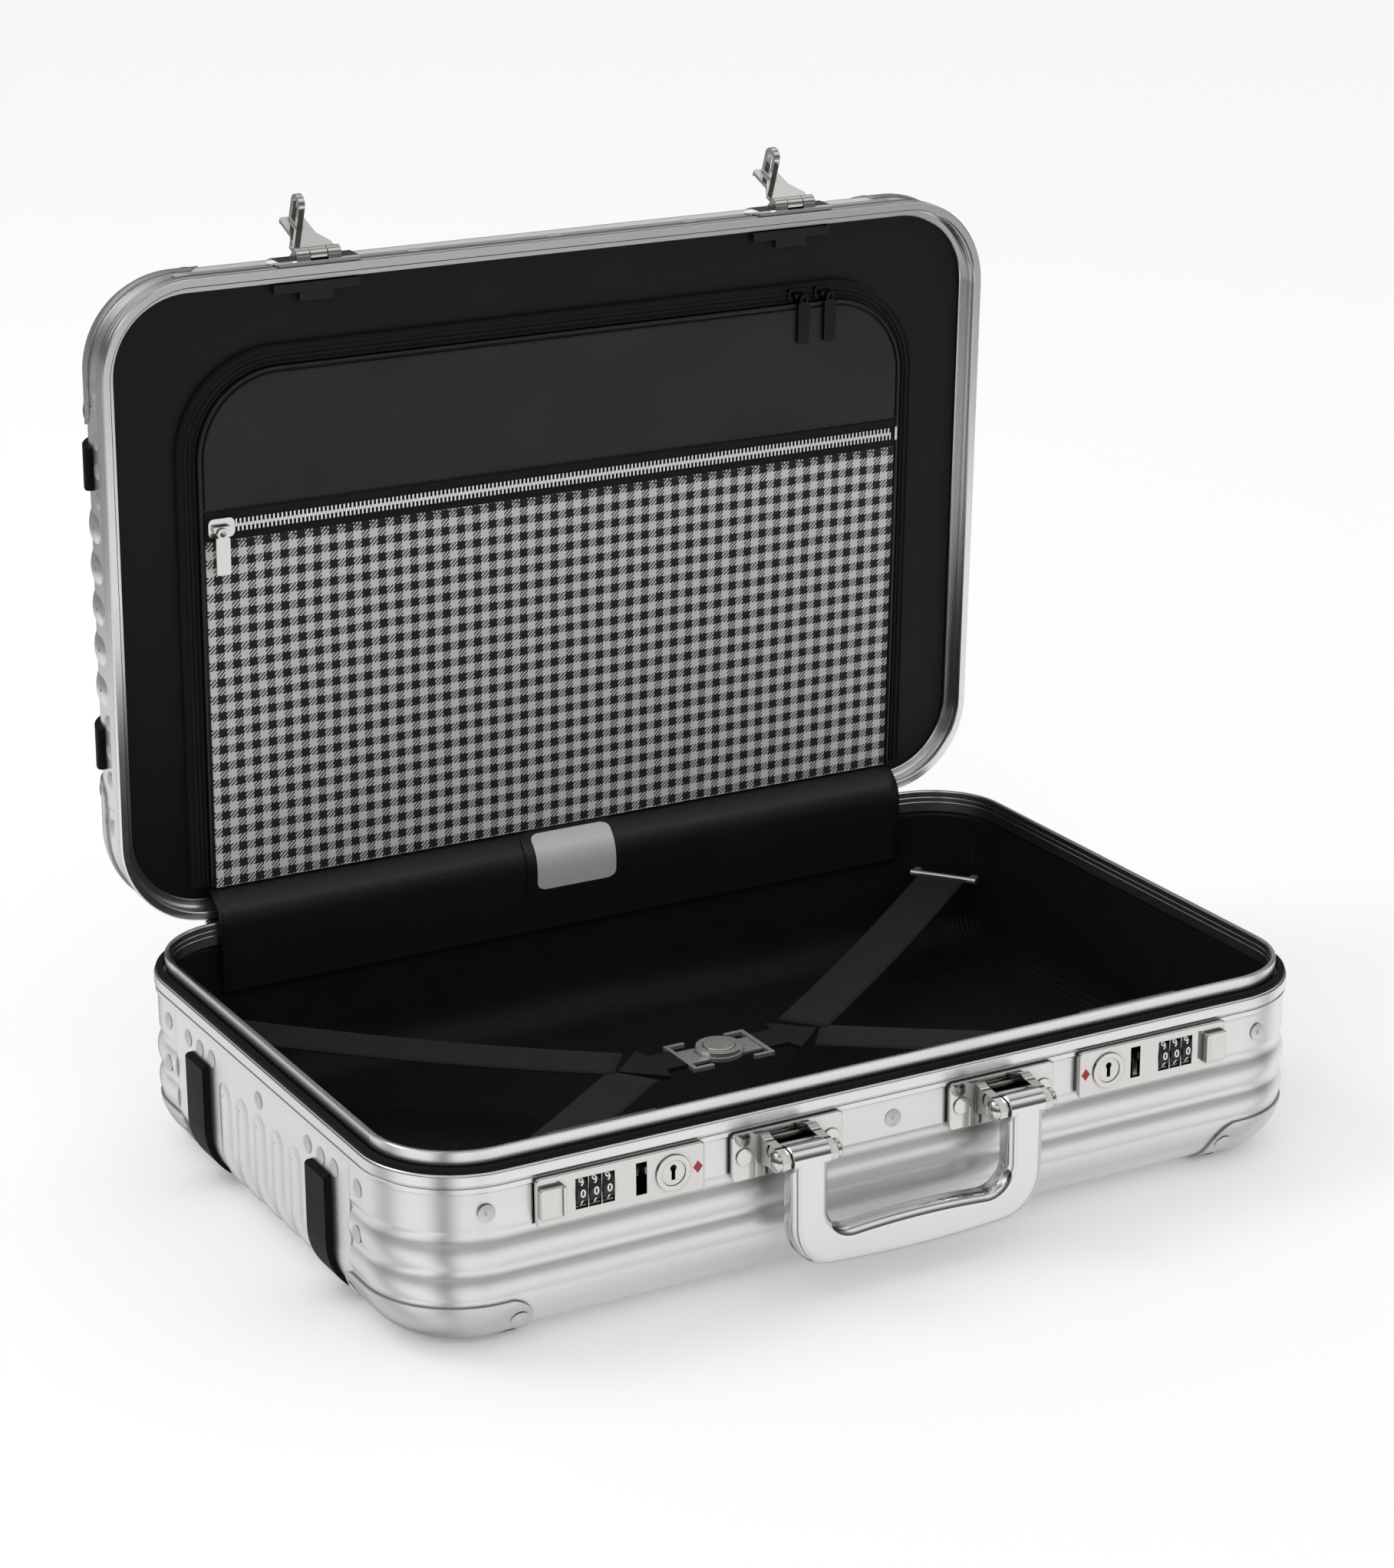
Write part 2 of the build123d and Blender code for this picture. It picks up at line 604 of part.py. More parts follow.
def handle_bracket(x):
    y, z = GRIP_PIN_Y, GRIP_PIN_Z
    bracket = front_plate(x, BRACKET_Z, 55.0, 22.4, 2.4, PLATE_BACK, 1.6, 0.5)
    for return_x in (x - 26.6, x + 25.2):
        bracket = bracket + plate_return(return_x, 57.6)
    ear_outline = (
        (PLATE_BACK - 1.0, 60.4), (PLATE_BACK - 1.0, 75.2), (FRONT_Y - 6.0, 73.6),
        (y + 2.0, z + 4.6), (y - 2.6, z + 3.8), (y - 4.8, z + 0.6), (y - 4.2, z - 2.6),
        (y - 1.0, z - 4.8), (FRONT_Y - 6.0, 62.2))
    for s in (-1, 1):
        x0, x1 = sorted((x + s * 9.3, x + s * 13.9))
        ear = push_x(polygon(ear_outline), x0, x1)
        bracket = bracket + (ear - x_cyl(GRIP_PIN_R, x + s * 8, x + s * 15, y, z))
    # fixed barrel close to the plate
    bracket = bracket + x_cyl(2.7, x - 9.6, x + 9.6, FRONT_Y - 6.2, z)
    # flat rivet heads at both ends of the plate
    for s in (-1, 1):
        bracket = bracket + y_cyl(3.9, x + s * 21.6, PLATE_BACK - 2.3, PLATE_BACK - 1.4,
                                  BRACKET_Z)
    return bracket


def handle_pin(x):
    pin = x_cyl(GRIP_PIN_R, x - 14.2, x + 14.2, GRIP_PIN_Y, GRIP_PIN_Z)
    for s in (-1, 1):
        seat = Plane(origin=(x + s * 13.95, GRIP_PIN_Y, GRIP_PIN_Z), z_dir=(s, 0, 0))
        pin = pin + seat * domed(4.6, 1.4, 3.6)
    return pin


def handle():
    """Hanging U-shaped grip with an eye at each end."""
    w, low, top = HANDLE_X + 9.0, HANDLE_LOW_Z, GRIP_PIN_Z
    outline = face_of(
        lines((-w, top), (-w, low + 24)),
        arc((-w, low + 24), (-w + 6.4, low + 8.2), (-w + 22, low + 1.6)),
        arc((-w + 22, low + 1.6), (0, low), (w - 22, low + 1.6)),
        arc((w - 22, low + 1.6), (w - 6.4, low + 8.2), (w, low + 24)),
        lines((w, low + 24), (w, top), (w - 18, top), (w - 18, low + 30)),
        arc((w - 18, low + 30), (w - 21.5, low + 21.5), (w - 30, low + 18.2)),
        arc((w - 30, low + 18.2), (0, low + 19.6), (-w + 30, low + 18.2)),
        arc((-w + 30, low + 18.2), (-w + 21.5, low + 21.5), (-w + 18, low + 30)),
        lines((-w + 18, low + 30), (-w + 18, top), (-w, top)))
    grip = push_y(outline, GRIP_PIN_Y - HANDLE_T / 2, GRIP_PIN_Y + HANDLE_T / 2)
    # round every outline edge below the square tops
    outline_edges = [e for e in grip.edges() if e.center().Z < top - 0.5
                     and abs(e.center().Y - GRIP_PIN_Y) > HANDLE_T / 2 - 0.1]
    grip = fillet(outline_edges, 4.6)
    for x in (-HANDLE_X, HANDLE_X):
        grip = grip + x_cyl(6.2, x - 9.0, x + 9.0, GRIP_PIN_Y, GRIP_PIN_Z)
    for x in (-HANDLE_X, HANDLE_X):
        grip = grip - x_cyl(GRIP_PIN_R + 0.05, x - 12, x + 12, GRIP_PIN_Y, GRIP_PIN_Z)
    return grip


# ---------------------------------------------------------------- piano hinge
KNUCKLE_R = 2.15
KNUCKLES = 17                # alternating between the leaves
HINGE_X = 192.0
KNUCKLE_L = 2 * HINGE_X / KNUCKLES
KNUCKLE_GAP = 0.15


def hinge_leaf(z0, z1, first, bore_r):
    """Leaf that carries every second knuckle, counted from index first."""
    leaf = box(-HINGE_X, HINGE_X, BACK_Y + 0.02, BACK_Y + 0.92, z0, z1)
    starts = [-HINGE_X + i * KNUCKLE_L for i in range(KNUCKLES)]
    for x in starts[1 - first::2]:
        leaf = leaf - box(x - KNUCKLE_GAP, x + KNUCKLE_L + KNUCKLE_GAP, BACK_Y - 5, BACK_Y + 9,
                          HINGE_Z - 2.7, HINGE_Z + 2.7)
    for x in starts[first::2]:
        leaf = leaf + x_cyl(KNUCKLE_R, x + KNUCKLE_GAP, x + KNUCKLE_L - KNUCKLE_GAP,
                            HINGE_Y, HINGE_Z)
    return leaf - x_cyl(bore_r, -HINGE_X - 5, HINGE_X + 5, HINGE_Y, HINGE_Z)


def hinge_pin():
    return x_cyl(PIN_R, -HINGE_X - 0.8, HINGE_X + 0.8, HINGE_Y, HINGE_Z)


# ---------------------------------------------------------------- base interior
LINING_INSET, LINING_T = 4.7, 1.5
LINING_BOTTOM, LINING_TOP = 3.4, 78.6
LINING_R = 23.0              # outer rounding at the floor
ANCHOR_X, ANCHOR_Y, ANCHOR_Z = 208.0, 129.0, 50.0    # strap anchor in each corner
MEET_X, MEET_Z = 40.0, 41.5  # where each pair of straps meets
WEB_W = 25.0
run_x = ANCHOR_X - MEET_X
WEB_L = math.hypot(run_x, ANCHOR_Y)
WEB_TURN = math.degrees(math.atan2(ANCHOR_Y, run_x))
WEB_TILT = math.degrees(math.atan2(ANCHOR_Z - MEET_Z, WEB_L))
TAB_OUTLINE = ((22.0, -9.0), (33.0, -9.0), (35.5, -17.0), (54.0, 0), (35.5, 17.0),
               (33.0, 9.0), (22.0, 9.0))             # (x, y)


def base_lining(recesses):
    """Open tray with rounded floor edges."""
    width, depth, r = LENGTH - 2 * LINING_INSET, DEPTH - 2 * LINING_INSET, PLAN_R - LINING_INSET
    outer = rounded_slab(width, depth, r, LINING_BOTTOM, LINING_TOP)
    outer = fillet(outer.faces().sort_by(Axis.Z)[0].edges(), LINING_R)
    inner = rounded_slab(width - 2 * LINING_T, depth - 2 * LINING_T, r - LINING_T,
                         LINING_BOTTOM + LINING_T, LINING_TOP + 5)
    inner = fillet(inner.faces().sort_by(Axis.Z)[0].edges(), LINING_R - LINING_T)
    lining = outer - inner
    for recess in recesses:
        lining = lining - recess
    return lining


def along_web(shape):
    """Place a shape whose local x runs from the meeting point to the anchor."""
    return Pos(MEET_X, 0, MEET_Z) * Rot(0, 0, WEB_TURN) * Rot(0, -WEB_TILT, 0) * shape


def cross_straps():
    web = along_web(box(13.6, WEB_L - 3.2, -WEB_W / 2, WEB_W / 2, -0.7, 0.7))
    return four_corners(web & box(0, 300, 0.15, 300, 0, 100))


def strap_anchors():
    """Cross rod with a lug at each end."""
    lugs = [box(WEB_L - 1.2, WEB_L + 5.5, y0, y0 + 3.5, -1.0, 1.0) for y0 in (-17.5, 14.0)]
    rod = Pos(WEB_L, 0, 0) * (Rot(90, 0, 0) * Cylinder(1.6, 36.0))
    return four_corners(along_web(rod + lugs[0] + lugs[1]))


def strap_tabs():
    return both_sides(push_z(polygon(TAB_OUTLINE), MEET_Z - 1.0, MEET_Z + 1.0))


def buckle_frame():
    """Round cup with a plate and an open rail frame on each side."""
    z0, z1 = MEET_Z - 0.9, MEET_Z + 1.1
    frame = Pos(0, 0, MEET_Z - 1.0) * disc(11.6, 2.0)
    frame = frame + Pos(0, 0, MEET_Z + 0.8) * disc(11.0, 2.4)
    frame = frame - Pos(0, 0, MEET_Z + 0.9) * disc(7.9, 6)
    for s in (-1, 1):
        plate = box(s * 9.0, s * 20.0, -7.6, 7.6, z0, MEET_Z + 0.5)
        rail = box(s * 19.6, s * 21.7, -15.5, 15.5, z0, z1)
        arms = (box(s * 11.0, s * 20.0, 13.5, 15.5, z0, z1)
                + box(s * 11.0, s * 20.0, -15.5, -13.5, z0, z1))
        frame = frame + plate + rail + arms
    return frame


def buckle_button():
    button = Pos(0, 0, MEET_Z + 2.2) * disc(7.6, 1.6)
    return fillet(button.faces().sort_by(Axis.Z)[-1].edges(), 0.5)


def hinge_flap():
    """Flap inside the back wall with a label on its front face."""
    flap = box(-192, 192, 144.6, 147.8, 55.0, 86.4)
    flap = fillet(flap.edges().filter_by(Axis.X), 1.4)
    label = box(-21.5, 21.5, 143.1, 144.55, 54.5, 85.5)
    return [flap, fillet(label.edges().filter_by(Axis.Y), 3.0)]


# ---------------------------------------------------------------- lid lining and pocket
# Closed, the pocket faces down, so its front faces have the lower Z.
LID_LINING_INSET = 4.5
PANEL_BACK, TAPE_Z, PANEL_FRONT = 96.1, 93.6, 88.6
POCKET_END_Y = 141.0
PANEL_X = 187.0              # half length of the front panels
CHAIN_Y = -38.0              # zipper across the pocket
CHAIN_SLIDER_X = -180.0
CHAIN_SLIDER_Z = PANEL_FRONT - 0.6
COIL_Y = -114.6              # zipper along the front edge of the pocket
COIL_SLIDER_X = (129.0, 144.0)
COIL_SLIDER_Z = TAPE_Z - 1.2


def lid_lining():
    inset = LID_LINING_INSET
    return rounded_slab(LENGTH - 2 * inset, DEPTH - 2 * inset, PLAN_R - inset, 96.15, 98.2)


def pocket_slab(x, y0, y1, r, z0, z1):
    """Slab from -x to x with two rounded corners towards the front."""
    bend = r * 0.2929
    return push_z(face_of(
        lines((-x, y1), (-x, y0 + r)),
        arc((-x, y0 + r), (-x + bend, y0 + bend), (-x + r, y0)),
        lines((-x + r, y0), (x - r, y0)),
        arc((x - r, y0), (x - bend, y0 + bend), (x, y0 + r)),
        lines((x, y0 + r), (x, y1), (-x, y1))), z0, z1)


def pocket_panel():
    """Backing, gusset and padded leather front."""
    panel = pocket_slab(198.5, -119.5, POCKET_END_Y, 50.0, TAPE_Z, PANEL_BACK)
    panel = panel + pocket_slab(189.0, -110.0, POCKET_END_Y, 40.5, PANEL_FRONT + 1.3,
                                TAPE_Z + 0.1)
    leather = pocket_slab(PANEL_X, -108.0, -45.6, 38.5, PANEL_FRONT, PANEL_FRONT + 1.4)
    return panel + fillet(leather.faces().sort_by(Axis.Z)[0].edges(), 0.9)


def coil_zipper():
    outer = pocket_slab(198.0, -119.0, POCKET_END_Y, 49.5, TAPE_Z - 1.1, TAPE_Z - 0.02)
    return outer - pocket_slab(189.4, -110.4, 150.0, 40.9, 80, 100)


def houndstooth_panel():
    panel = box(-PANEL_X, PANEL_X, -30.8, POCKET_END_Y, PANEL_FRONT, PANEL_FRONT + 1.28)
    return chamfer(panel.faces().sort_by(Axis.Z)[0].edges(), 0.5)


def zipper_chain():
    tape = box(-PANEL_X, PANEL_X, CHAIN_Y - 6.8, CHAIN_Y + 6.8, PANEL_FRONT + 0.5,
               PANEL_FRONT + 1.28)
    return tape + box(-PANEL_X, PANEL_X, CHAIN_Y - 2.5, CHAIN_Y + 2.5, PANEL_FRONT - 0.5,
                      PANEL_FRONT + 0.6)


def slider(x, y, z, half_x, half_y, corner, bridge_x, bridge_y, bridge_drop, wall):
    """Zipper slider below z: rounded body and a bridge with an eye for the pull."""
    body = box(x - half_x, x + half_x, y - half_y, y + half_y, z - 1.8, z)
    body = fillet(body.edges().filter_by(Axis.Z), corner)
    x0, x1 = x + bridge_x[0], x + bridge_x[1]
    bridge = box(x0, x1, y - bridge_y, y + bridge_y, z - bridge_drop, z - 1.7)
    eye = box(x0 + wall, x1 - wall, y - 2, y + 2, z - bridge_drop + 1.0, z - 1.9)
    return body + (bridge - eye)


def pull(x, y, z0, ring_r, width, length):
    """Ring with a flat tab, hanging towards the back of the closed lid."""
    thickness = 1.2
    loop = Pos(x, y + ring_r - 0.6, z0) * (disc(ring_r, thickness)
                                           - disc(ring_r - 1.1, thickness))
    tab_y = y + 2 * ring_r - 1.6
    tab = box(x - width / 2, x + width / 2, tab_y, tab_y + length, z0, z0 + thickness)
    return loop + fillet(tab.edges().filter_by(Axis.Z), 1.2)


def zipper_slider():
    return slider(CHAIN_SLIDER_X, CHAIN_Y, CHAIN_SLIDER_Z, half_x=6.5, half_y=4.6, corner=2.6,
                  bridge_x=(-4.6, 3.4), bridge_y=1.3, bridge_drop=4.5, wall=1.4)


def zipper_pull():
    return pull(CHAIN_SLIDER_X - 1.0, CHAIN_Y - 0.2, CHAIN_SLIDER_Z - 5.9,
                ring_r=2.6, width=7.0, length=18.0)


def coil_slider(x):
    return slider(x, COIL_Y, COIL_SLIDER_Z, half_x=5.0, half_y=3.4, corner=2.0,
                  bridge_x=(-2.6, 4.0), bridge_y=1.1, bridge_drop=4.2, wall=1.2)


def coil_pull(x):
    return pull(x + 2.0, COIL_Y - 0.2, COIL_SLIDER_Z - 5.6, ring_r=2.4, width=6.4, length=21.0)


def catch_cover(x):
    cover = box(x - 21.5, x + 21.5, FRONT_Y + 8.6, FRONT_Y + 13.0, 92.6, PANEL_BACK)
    return cover + box(x - 8.5, x + 8.5, FRONT_Y + 12.5, FRONT_Y + 17.5, 93.4, PANEL_BACK)


# ---------------------------------------------------------------- hasps
HASP_Y, HASP_Z = FRONT_Y - 4.2, 93.0
HASP_ANGLE = 160.6           # opening from closed
HASP_BACK = FRONT_Y - 3.1    # inner face of the closed hasp
HASP_LOW_Z = 61.6
# (outward from the front wall, up)
BRACKET_WING = ((0.02, 89.0), (1.9, 89.0), (2.4, 90.0), (2.4, 100.5), (0.6, 105.0),
                (-1.27, 105.0), (-1.27, 97.1), (0.02, 97.1))
BRACKET_ARM = ((1.5, 89.2), (4.2, 89.62), (5.4, 92.0), (4.8, 96.3), (1.5, 100.2))
# right edge of the hasp plate from the free end up: (from centre, z)
HASP_EDGE = ((4.8, HASP_LOW_Z), (6.0, HASP_LOW_Z + 1.2), (6.2, 77.0), (10.4, 85.4),
             (10.4, 88.6), (4.2, 89.0), (4.2, 93.0))


def front_prism(points, x0, x1):
    """(outward, up) outline at the front wall, extruded along X."""
    return push_x(polygon([(FRONT_Y - out, z) for out, z in points]), x0, x1)


def hasp_bracket(x):
    bracket = front_prism(BRACKET_WING, x - 20, x + 20)
    for s in (-1, 1):
        x0, x1 = sorted((x + s * 4.5, x + s * 11.0))
        bracket = bracket + front_prism(BRACKET_ARM, x0, x1) + x_cyl(3.4, x0, x1, HASP_Y, HASP_Z)
        bracket = bracket - x_cyl(PIN_R, x0 - 0.5, x1 + 0.5, HASP_Y, HASP_Z)
    # room for the hasp barrel between the knuckles
    return bracket - box(x - 4.5, x + 4.5, HASP_Y - 5, FRONT_Y - 0.4, 89.3, 97.2)


def hasp_pin(x):
    return x_cyl(PIN_R, x - 11.4, x + 11.4, HASP_Y, HASP_Z)


def loop_face(y0, y1, tip_y, z0, z1):
    """Straight-sided tongue with a bowed inner end, in (y, z)."""
    return face_of(lines((y0, z0), (y1, z0)),
                   arc((y1, z0), (tip_y, 67.8), (y1, z1)),
                   lines((y1, z1), (y0, z1), (y0, z0)))


def hasp(x):
    """Hasp built closed, then swung up about its pin."""
    y, low = HASP_BACK, HASP_LOW_Z
    outline = [(x - out, z) for out, z in reversed(HASP_EDGE)]
    outline += [(x + out, z) for out, z in HASP_EDGE]
    plate = push_y(polygon(outline), y - 1.6, y)
    plate = plate + x_cyl(3.3, x - 4.2, x + 4.2, HASP_Y, HASP_Z)
    plate = plate - x_cyl(PIN_R + PIN_GAP, x - 6, x + 6, HASP_Y, HASP_Z)
    # finger lip at the free end
    lip = ((y - 1.2, low), (y - 1.2, low + 2.6), (y - 1.6, low + 3.0), (y - 3.2, low + 0.4),
           (y - 2.8, low))
    plate = plate + push_x(polygon(lip), x - 5.2, x + 5.2)
    # staple loop
    tip_y = y + 15.0
    tongue = push_x(loop_face(y - 0.2, y + 10.2, tip_y, 63.0, 72.6), x - 1.5, x + 1.5)
    hole = push_x(loop_face(y + 1.6, y + 10.0, tip_y - 2.2, 65.3, 70.3), x - 1.5, x + 1.5)
    closed = plate + (tongue - hole)
    return closed.rotate(Axis((0, HASP_Y, HASP_Z), (1, 0, 0)), -HASP_ANGLE)


# ---------------------------------------------------------------- write the base
recesses = lock_recesses()
base_caps = corner_caps(BASE, (9, 12, 16), -5, 60, CAP_BASE_TOP)
front_band, back_band = bands(base_band_section(), -5, 100, base_caps)
for recess in recesses:
    front_band = front_band - recess

save("base_shell", ribbed_shell(BASE, 79.0, 53.0))
save("base_front_band", front_band)
save("base_back_band", back_band)
save("base_corner_caps", base_caps)
save("base_frame", base_frame(recesses))
save("base_seal", base_seal())
save("base_rivets", rivets(BASE, 66.5, front_xs=(-197.5, 0, 197.5),
                           back_xs=(-197.5, -66, 66, 197.5), extra_z=45.5))
save("base_straps", leather_straps(BASE, end_z=61.6, swell_z=BASE.centre_z + 2))
save("base_lining", base_lining(recesses))
save("lock_plates", both_sides(lock_plate()))
save("lock_housings", both_sides(lock_housing()))
save("dial_axles", both_sides(dial_axle()))
for number, x in enumerate(DIAL_X, 1):
    save_sides("dial_{}_%d" % number, dial(x))
save_sides("key_cylinder_{}", key_cylinder())
save_sides("slider_button_{}", slider_button())
save_sides("latch_bolt_{}", latch_bolt())
save("handle_brackets", [handle_bracket(x) for x in (-HANDLE_X, HANDLE_X)])
save("handle_pins", [handle_pin(x) for x in (-HANDLE_X, HANDLE_X)])
save("handle", handle())
save("hinge_base_leaf", hinge_leaf(76.0, HINGE_Z, first=0, bore_r=PIN_R))
save("hinge_pin", hinge_pin())
save("cross_straps", cross_straps())
save("strap_tabs", strap_tabs())
save("strap_anchors", strap_anchors())
save("buckle_frame", buckle_frame())
save("buckle_button", buckle_button())
save("hinge_flap", hinge_flap())

# ---------------------------------------------------------------- write the lid
lid_caps = corner_caps(LID, (2, 6, 10), 60, 200, CAP_LID_TOP)
front_band, back_band = bands(lid_band_section(), 60, 200, lid_caps)

save_on_lid("lid_shell", ribbed_shell(LID, 93.6, 106.9))
save_on_lid("lid_front_band", front_band)
save_on_lid("lid_back_band", back_band)
save_on_lid("lid_corner_caps", lid_caps)
save_on_lid("lid_frame", ring(polygon(LID_FRAME)))
save_on_lid("lid_rivets", rivets(LID, 101.0, front_xs=(-190, -73, 0, 73, 190),
                                 back_xs=(-190, 190)))
save_on_lid("lid_straps", leather_straps(LID, end_z=105.6, swell_z=109.0))
save_on_lid("lid_lining", lid_lining())
save_on_lid("hinge_lid_leaf", hinge_leaf(HINGE_Z, 101.0, first=1, bore_r=PIN_R + PIN_GAP))
save_on_lid("hasp_brackets", [hasp_bracket(x) for x in (-SLOT_X, SLOT_X)])
save_on_lid("hasp_pins", [hasp_pin(x) for x in (-SLOT_X, SLOT_X)])
save_on_lid("hasp_right", hasp(SLOT_X))
save_on_lid("hasp_left", hasp(-SLOT_X))
save_on_lid("catch_covers", [catch_cover(x) for x in (-SLOT_X, SLOT_X)])
save_on_lid("pocket_panel", pocket_panel())
save_on_lid("houndstooth_panel", houndstooth_panel())
save_on_lid("zipper_chain", zipper_chain())
save_on_lid("zipper_slider", zipper_slider())
save_on_lid("zipper_pull", zipper_pull())
save_on_lid("coil_zipper", coil_zipper())
for number, x in enumerate(COIL_SLIDER_X, 1):
    save_on_lid("coil_slider_%d" % number, coil_slider(x))
    save_on_lid("coil_pull_%d" % number, coil_pull(x))
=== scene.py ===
"""Metal-clad briefcase standing open on a studio floor.

X runs along the width, -Y is the front with the locks, +Y the back with the hinge, +Z is up.
The base lies flat on the floor and the lid stands open. Mesh sizes are in millimetres, with
lid parts drawn as if the lid were closed; shading, floor, lights and camera are in metres.
"""
import math
import bpy
import bmesh
from mathutils import Matrix, Vector

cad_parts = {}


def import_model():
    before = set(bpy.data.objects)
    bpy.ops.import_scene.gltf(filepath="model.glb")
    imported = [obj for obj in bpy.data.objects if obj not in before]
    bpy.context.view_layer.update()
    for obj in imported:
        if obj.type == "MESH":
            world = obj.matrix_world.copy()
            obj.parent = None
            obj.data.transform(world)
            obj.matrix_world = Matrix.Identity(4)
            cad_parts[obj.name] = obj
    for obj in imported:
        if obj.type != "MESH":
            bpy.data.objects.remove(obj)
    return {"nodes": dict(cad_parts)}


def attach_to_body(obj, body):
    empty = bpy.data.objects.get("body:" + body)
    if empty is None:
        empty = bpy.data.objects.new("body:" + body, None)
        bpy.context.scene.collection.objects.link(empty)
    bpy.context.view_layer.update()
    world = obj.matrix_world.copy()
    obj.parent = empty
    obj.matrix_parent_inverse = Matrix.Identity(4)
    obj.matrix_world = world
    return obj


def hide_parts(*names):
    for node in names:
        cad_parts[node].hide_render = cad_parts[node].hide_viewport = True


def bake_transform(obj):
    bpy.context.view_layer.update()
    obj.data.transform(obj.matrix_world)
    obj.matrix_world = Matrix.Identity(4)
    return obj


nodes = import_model()["nodes"]
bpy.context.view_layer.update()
scene = bpy.context.scene

# hinge axis (m) and opening angle of the lid
HINGE_Y = 0.1582
HINGE_Z = 0.0905
LID_OPEN = math.radians(88.0)


def mm(x, y, z):
    """Millimetres to metres."""
    return Vector((x / 1000, y / 1000, z / 1000))


def lid_point(x, y, z):
    """Closed-lid place (mm) turned about the hinge to the open lid (m)."""
    dy = y / 1000 - HINGE_Y
    dz = z / 1000 - HINGE_Z
    cos, sin = math.cos(LID_OPEN), math.sin(LID_OPEN)
    return Vector((x / 1000, HINGE_Y + dy * cos + dz * sin, HINGE_Z - dy * sin + dz * cos))


# ------------------------------------------------------------------ shader graphs
class Graph:
    """Short forms for building the node tree of a material or world."""

    def __init__(self, owner):
        owner.use_nodes = True
        self.tree = owner.node_tree
        self.tree.nodes.clear()

    def node(self, kind, **props):
        node = self.tree.nodes.new("ShaderNode" + kind)
        for key, value in props.items():
            setattr(node, key, value)
        return node

    def feed(self, socket, value):
        """Link an output into the socket, or set its plain value."""
        if isinstance(value, bpy.types.NodeSocket):
            self.tree.links.new(value, socket)
        else:
            socket.default_value = value

    def math(self, operation, *values):
        node = self.node("Math", operation=operation)
        for socket, value in zip(node.inputs, values):
            self.feed(socket, value)
        return node.outputs[0]

    def separate(self, vector):
        node = self.node("SeparateXYZ")
        self.feed(node.inputs[0], vector)
        return node.outputs

    def span(self, value, low, high, start=0.0, end=1.0, **props):
        """Map start..end to low..high."""
        node = self.node("MapRange", **props)
        self.feed(node.inputs["Value"], value)
        node.inputs["From Min"].default_value = start
        node.inputs["From Max"].default_value = end
        node.inputs["To Min"].default_value = low
        node.inputs["To Max"].default_value = high
        return node.outputs[0]

    def mix(self, factor, first, second, blend="MIX"):
        """Mix two colours, each an RGB tuple or an output."""
        node = self.node("Mix", data_type="RGBA", blend_type=blend)
        self.feed(node.inputs[0], factor)
        for index, color in ((6, first), (7, second)):
            self.feed(node.inputs[index], (*color, 1) if isinstance(color, tuple) else color)
        return node.outputs[2]

    def product(self, factors):
        total = factors[0]
        for factor in factors[1:]:
            total = self.math("MULTIPLY", total, factor)
        return total

    def dip(self, azimuth, center, width, depth):
        """Bell-shaped dimming by depth round an azimuth; center and width in degrees."""
        offset = self.math("SUBTRACT", azimuth, math.radians(center))
        offset = self.math("DIVIDE", offset, math.radians(width))
        square = self.math("MULTIPLY", offset, offset)
        bell = self.math("EXPONENT", self.math("MULTIPLY", square, -1.0))
        return self.math("SUBTRACT", 1.0, self.math("MULTIPLY", bell, depth))

    def dips(self, azimuth, groups):
        """Product of groups of (center, width, depth) dips."""
        return self.product([self.product([self.dip(azimuth, *dip) for dip in group])
                             for group in groups])


class Mat(Graph):
    """Principled material; bevel and bumps stack on its normal."""

    def __init__(self, name, color=(0.5, 0.5, 0.5), metallic=0.0, rough=0.5):
        self.material = bpy.data.materials.new(name)
        super().__init__(self.material)
        output = self.node("OutputMaterial")
        self.surface = self.node("BsdfPrincipled")
        self.feed(output.inputs[0], self.surface.outputs[0])
        self.set("Base Color", (*color, 1))
        self.set("Metallic", metallic)
        self.set("Roughness", rough)
        self.coords = None
        self.normal = None

    def set(self, key, value):
        self.feed(self.surface.inputs[key], value)

    def position(self):
        """Object coordinates, from one shared node."""
        if self.coords is None:
            self.coords = self.node("TexCoord").outputs["Object"]
        return self.coords

    def stretched(self, scale):
        node = self.node("Mapping")
        node.inputs["Scale"].default_value = scale
        self.feed(node.inputs["Vector"], self.position())
        return node.outputs[0]

    def noise(self, scale, detail=3.0, rough=0.5, vector=None):
        node = self.node("TexNoise")
        node.inputs["Scale"].default_value = scale
        node.inputs["Detail"].default_value = detail
        node.inputs["Roughness"].default_value = rough
        self.feed(node.inputs["Vector"], vector or self.position())
        return node.outputs[0]

    def voronoi(self, scale):
        node = self.node("TexVoronoi", feature="F1")
        node.inputs["Scale"].default_value = scale
        self.feed(node.inputs["Vector"], self.position())
        return node.outputs["Distance"]

    def set_normal(self, normal):
        self.normal = normal
        self.set("Normal", normal)

    def bevel(self, radius):
        node = self.node("Bevel", samples=4)
        node.inputs["Radius"].default_value = radius
        self.set_normal(node.outputs[0])

    def bump(self, height, strength, distance):
        node = self.node("Bump")
        node.inputs["Strength"].default_value = strength
        node.inputs["Distance"].default_value = distance
        self.feed(node.inputs["Height"], height)
        if self.normal is not None:
            self.feed(node.inputs["Normal"], self.normal)
        self.set_normal(node.outputs[0])


def shade(color, factor):
    return tuple(c * factor for c in color)


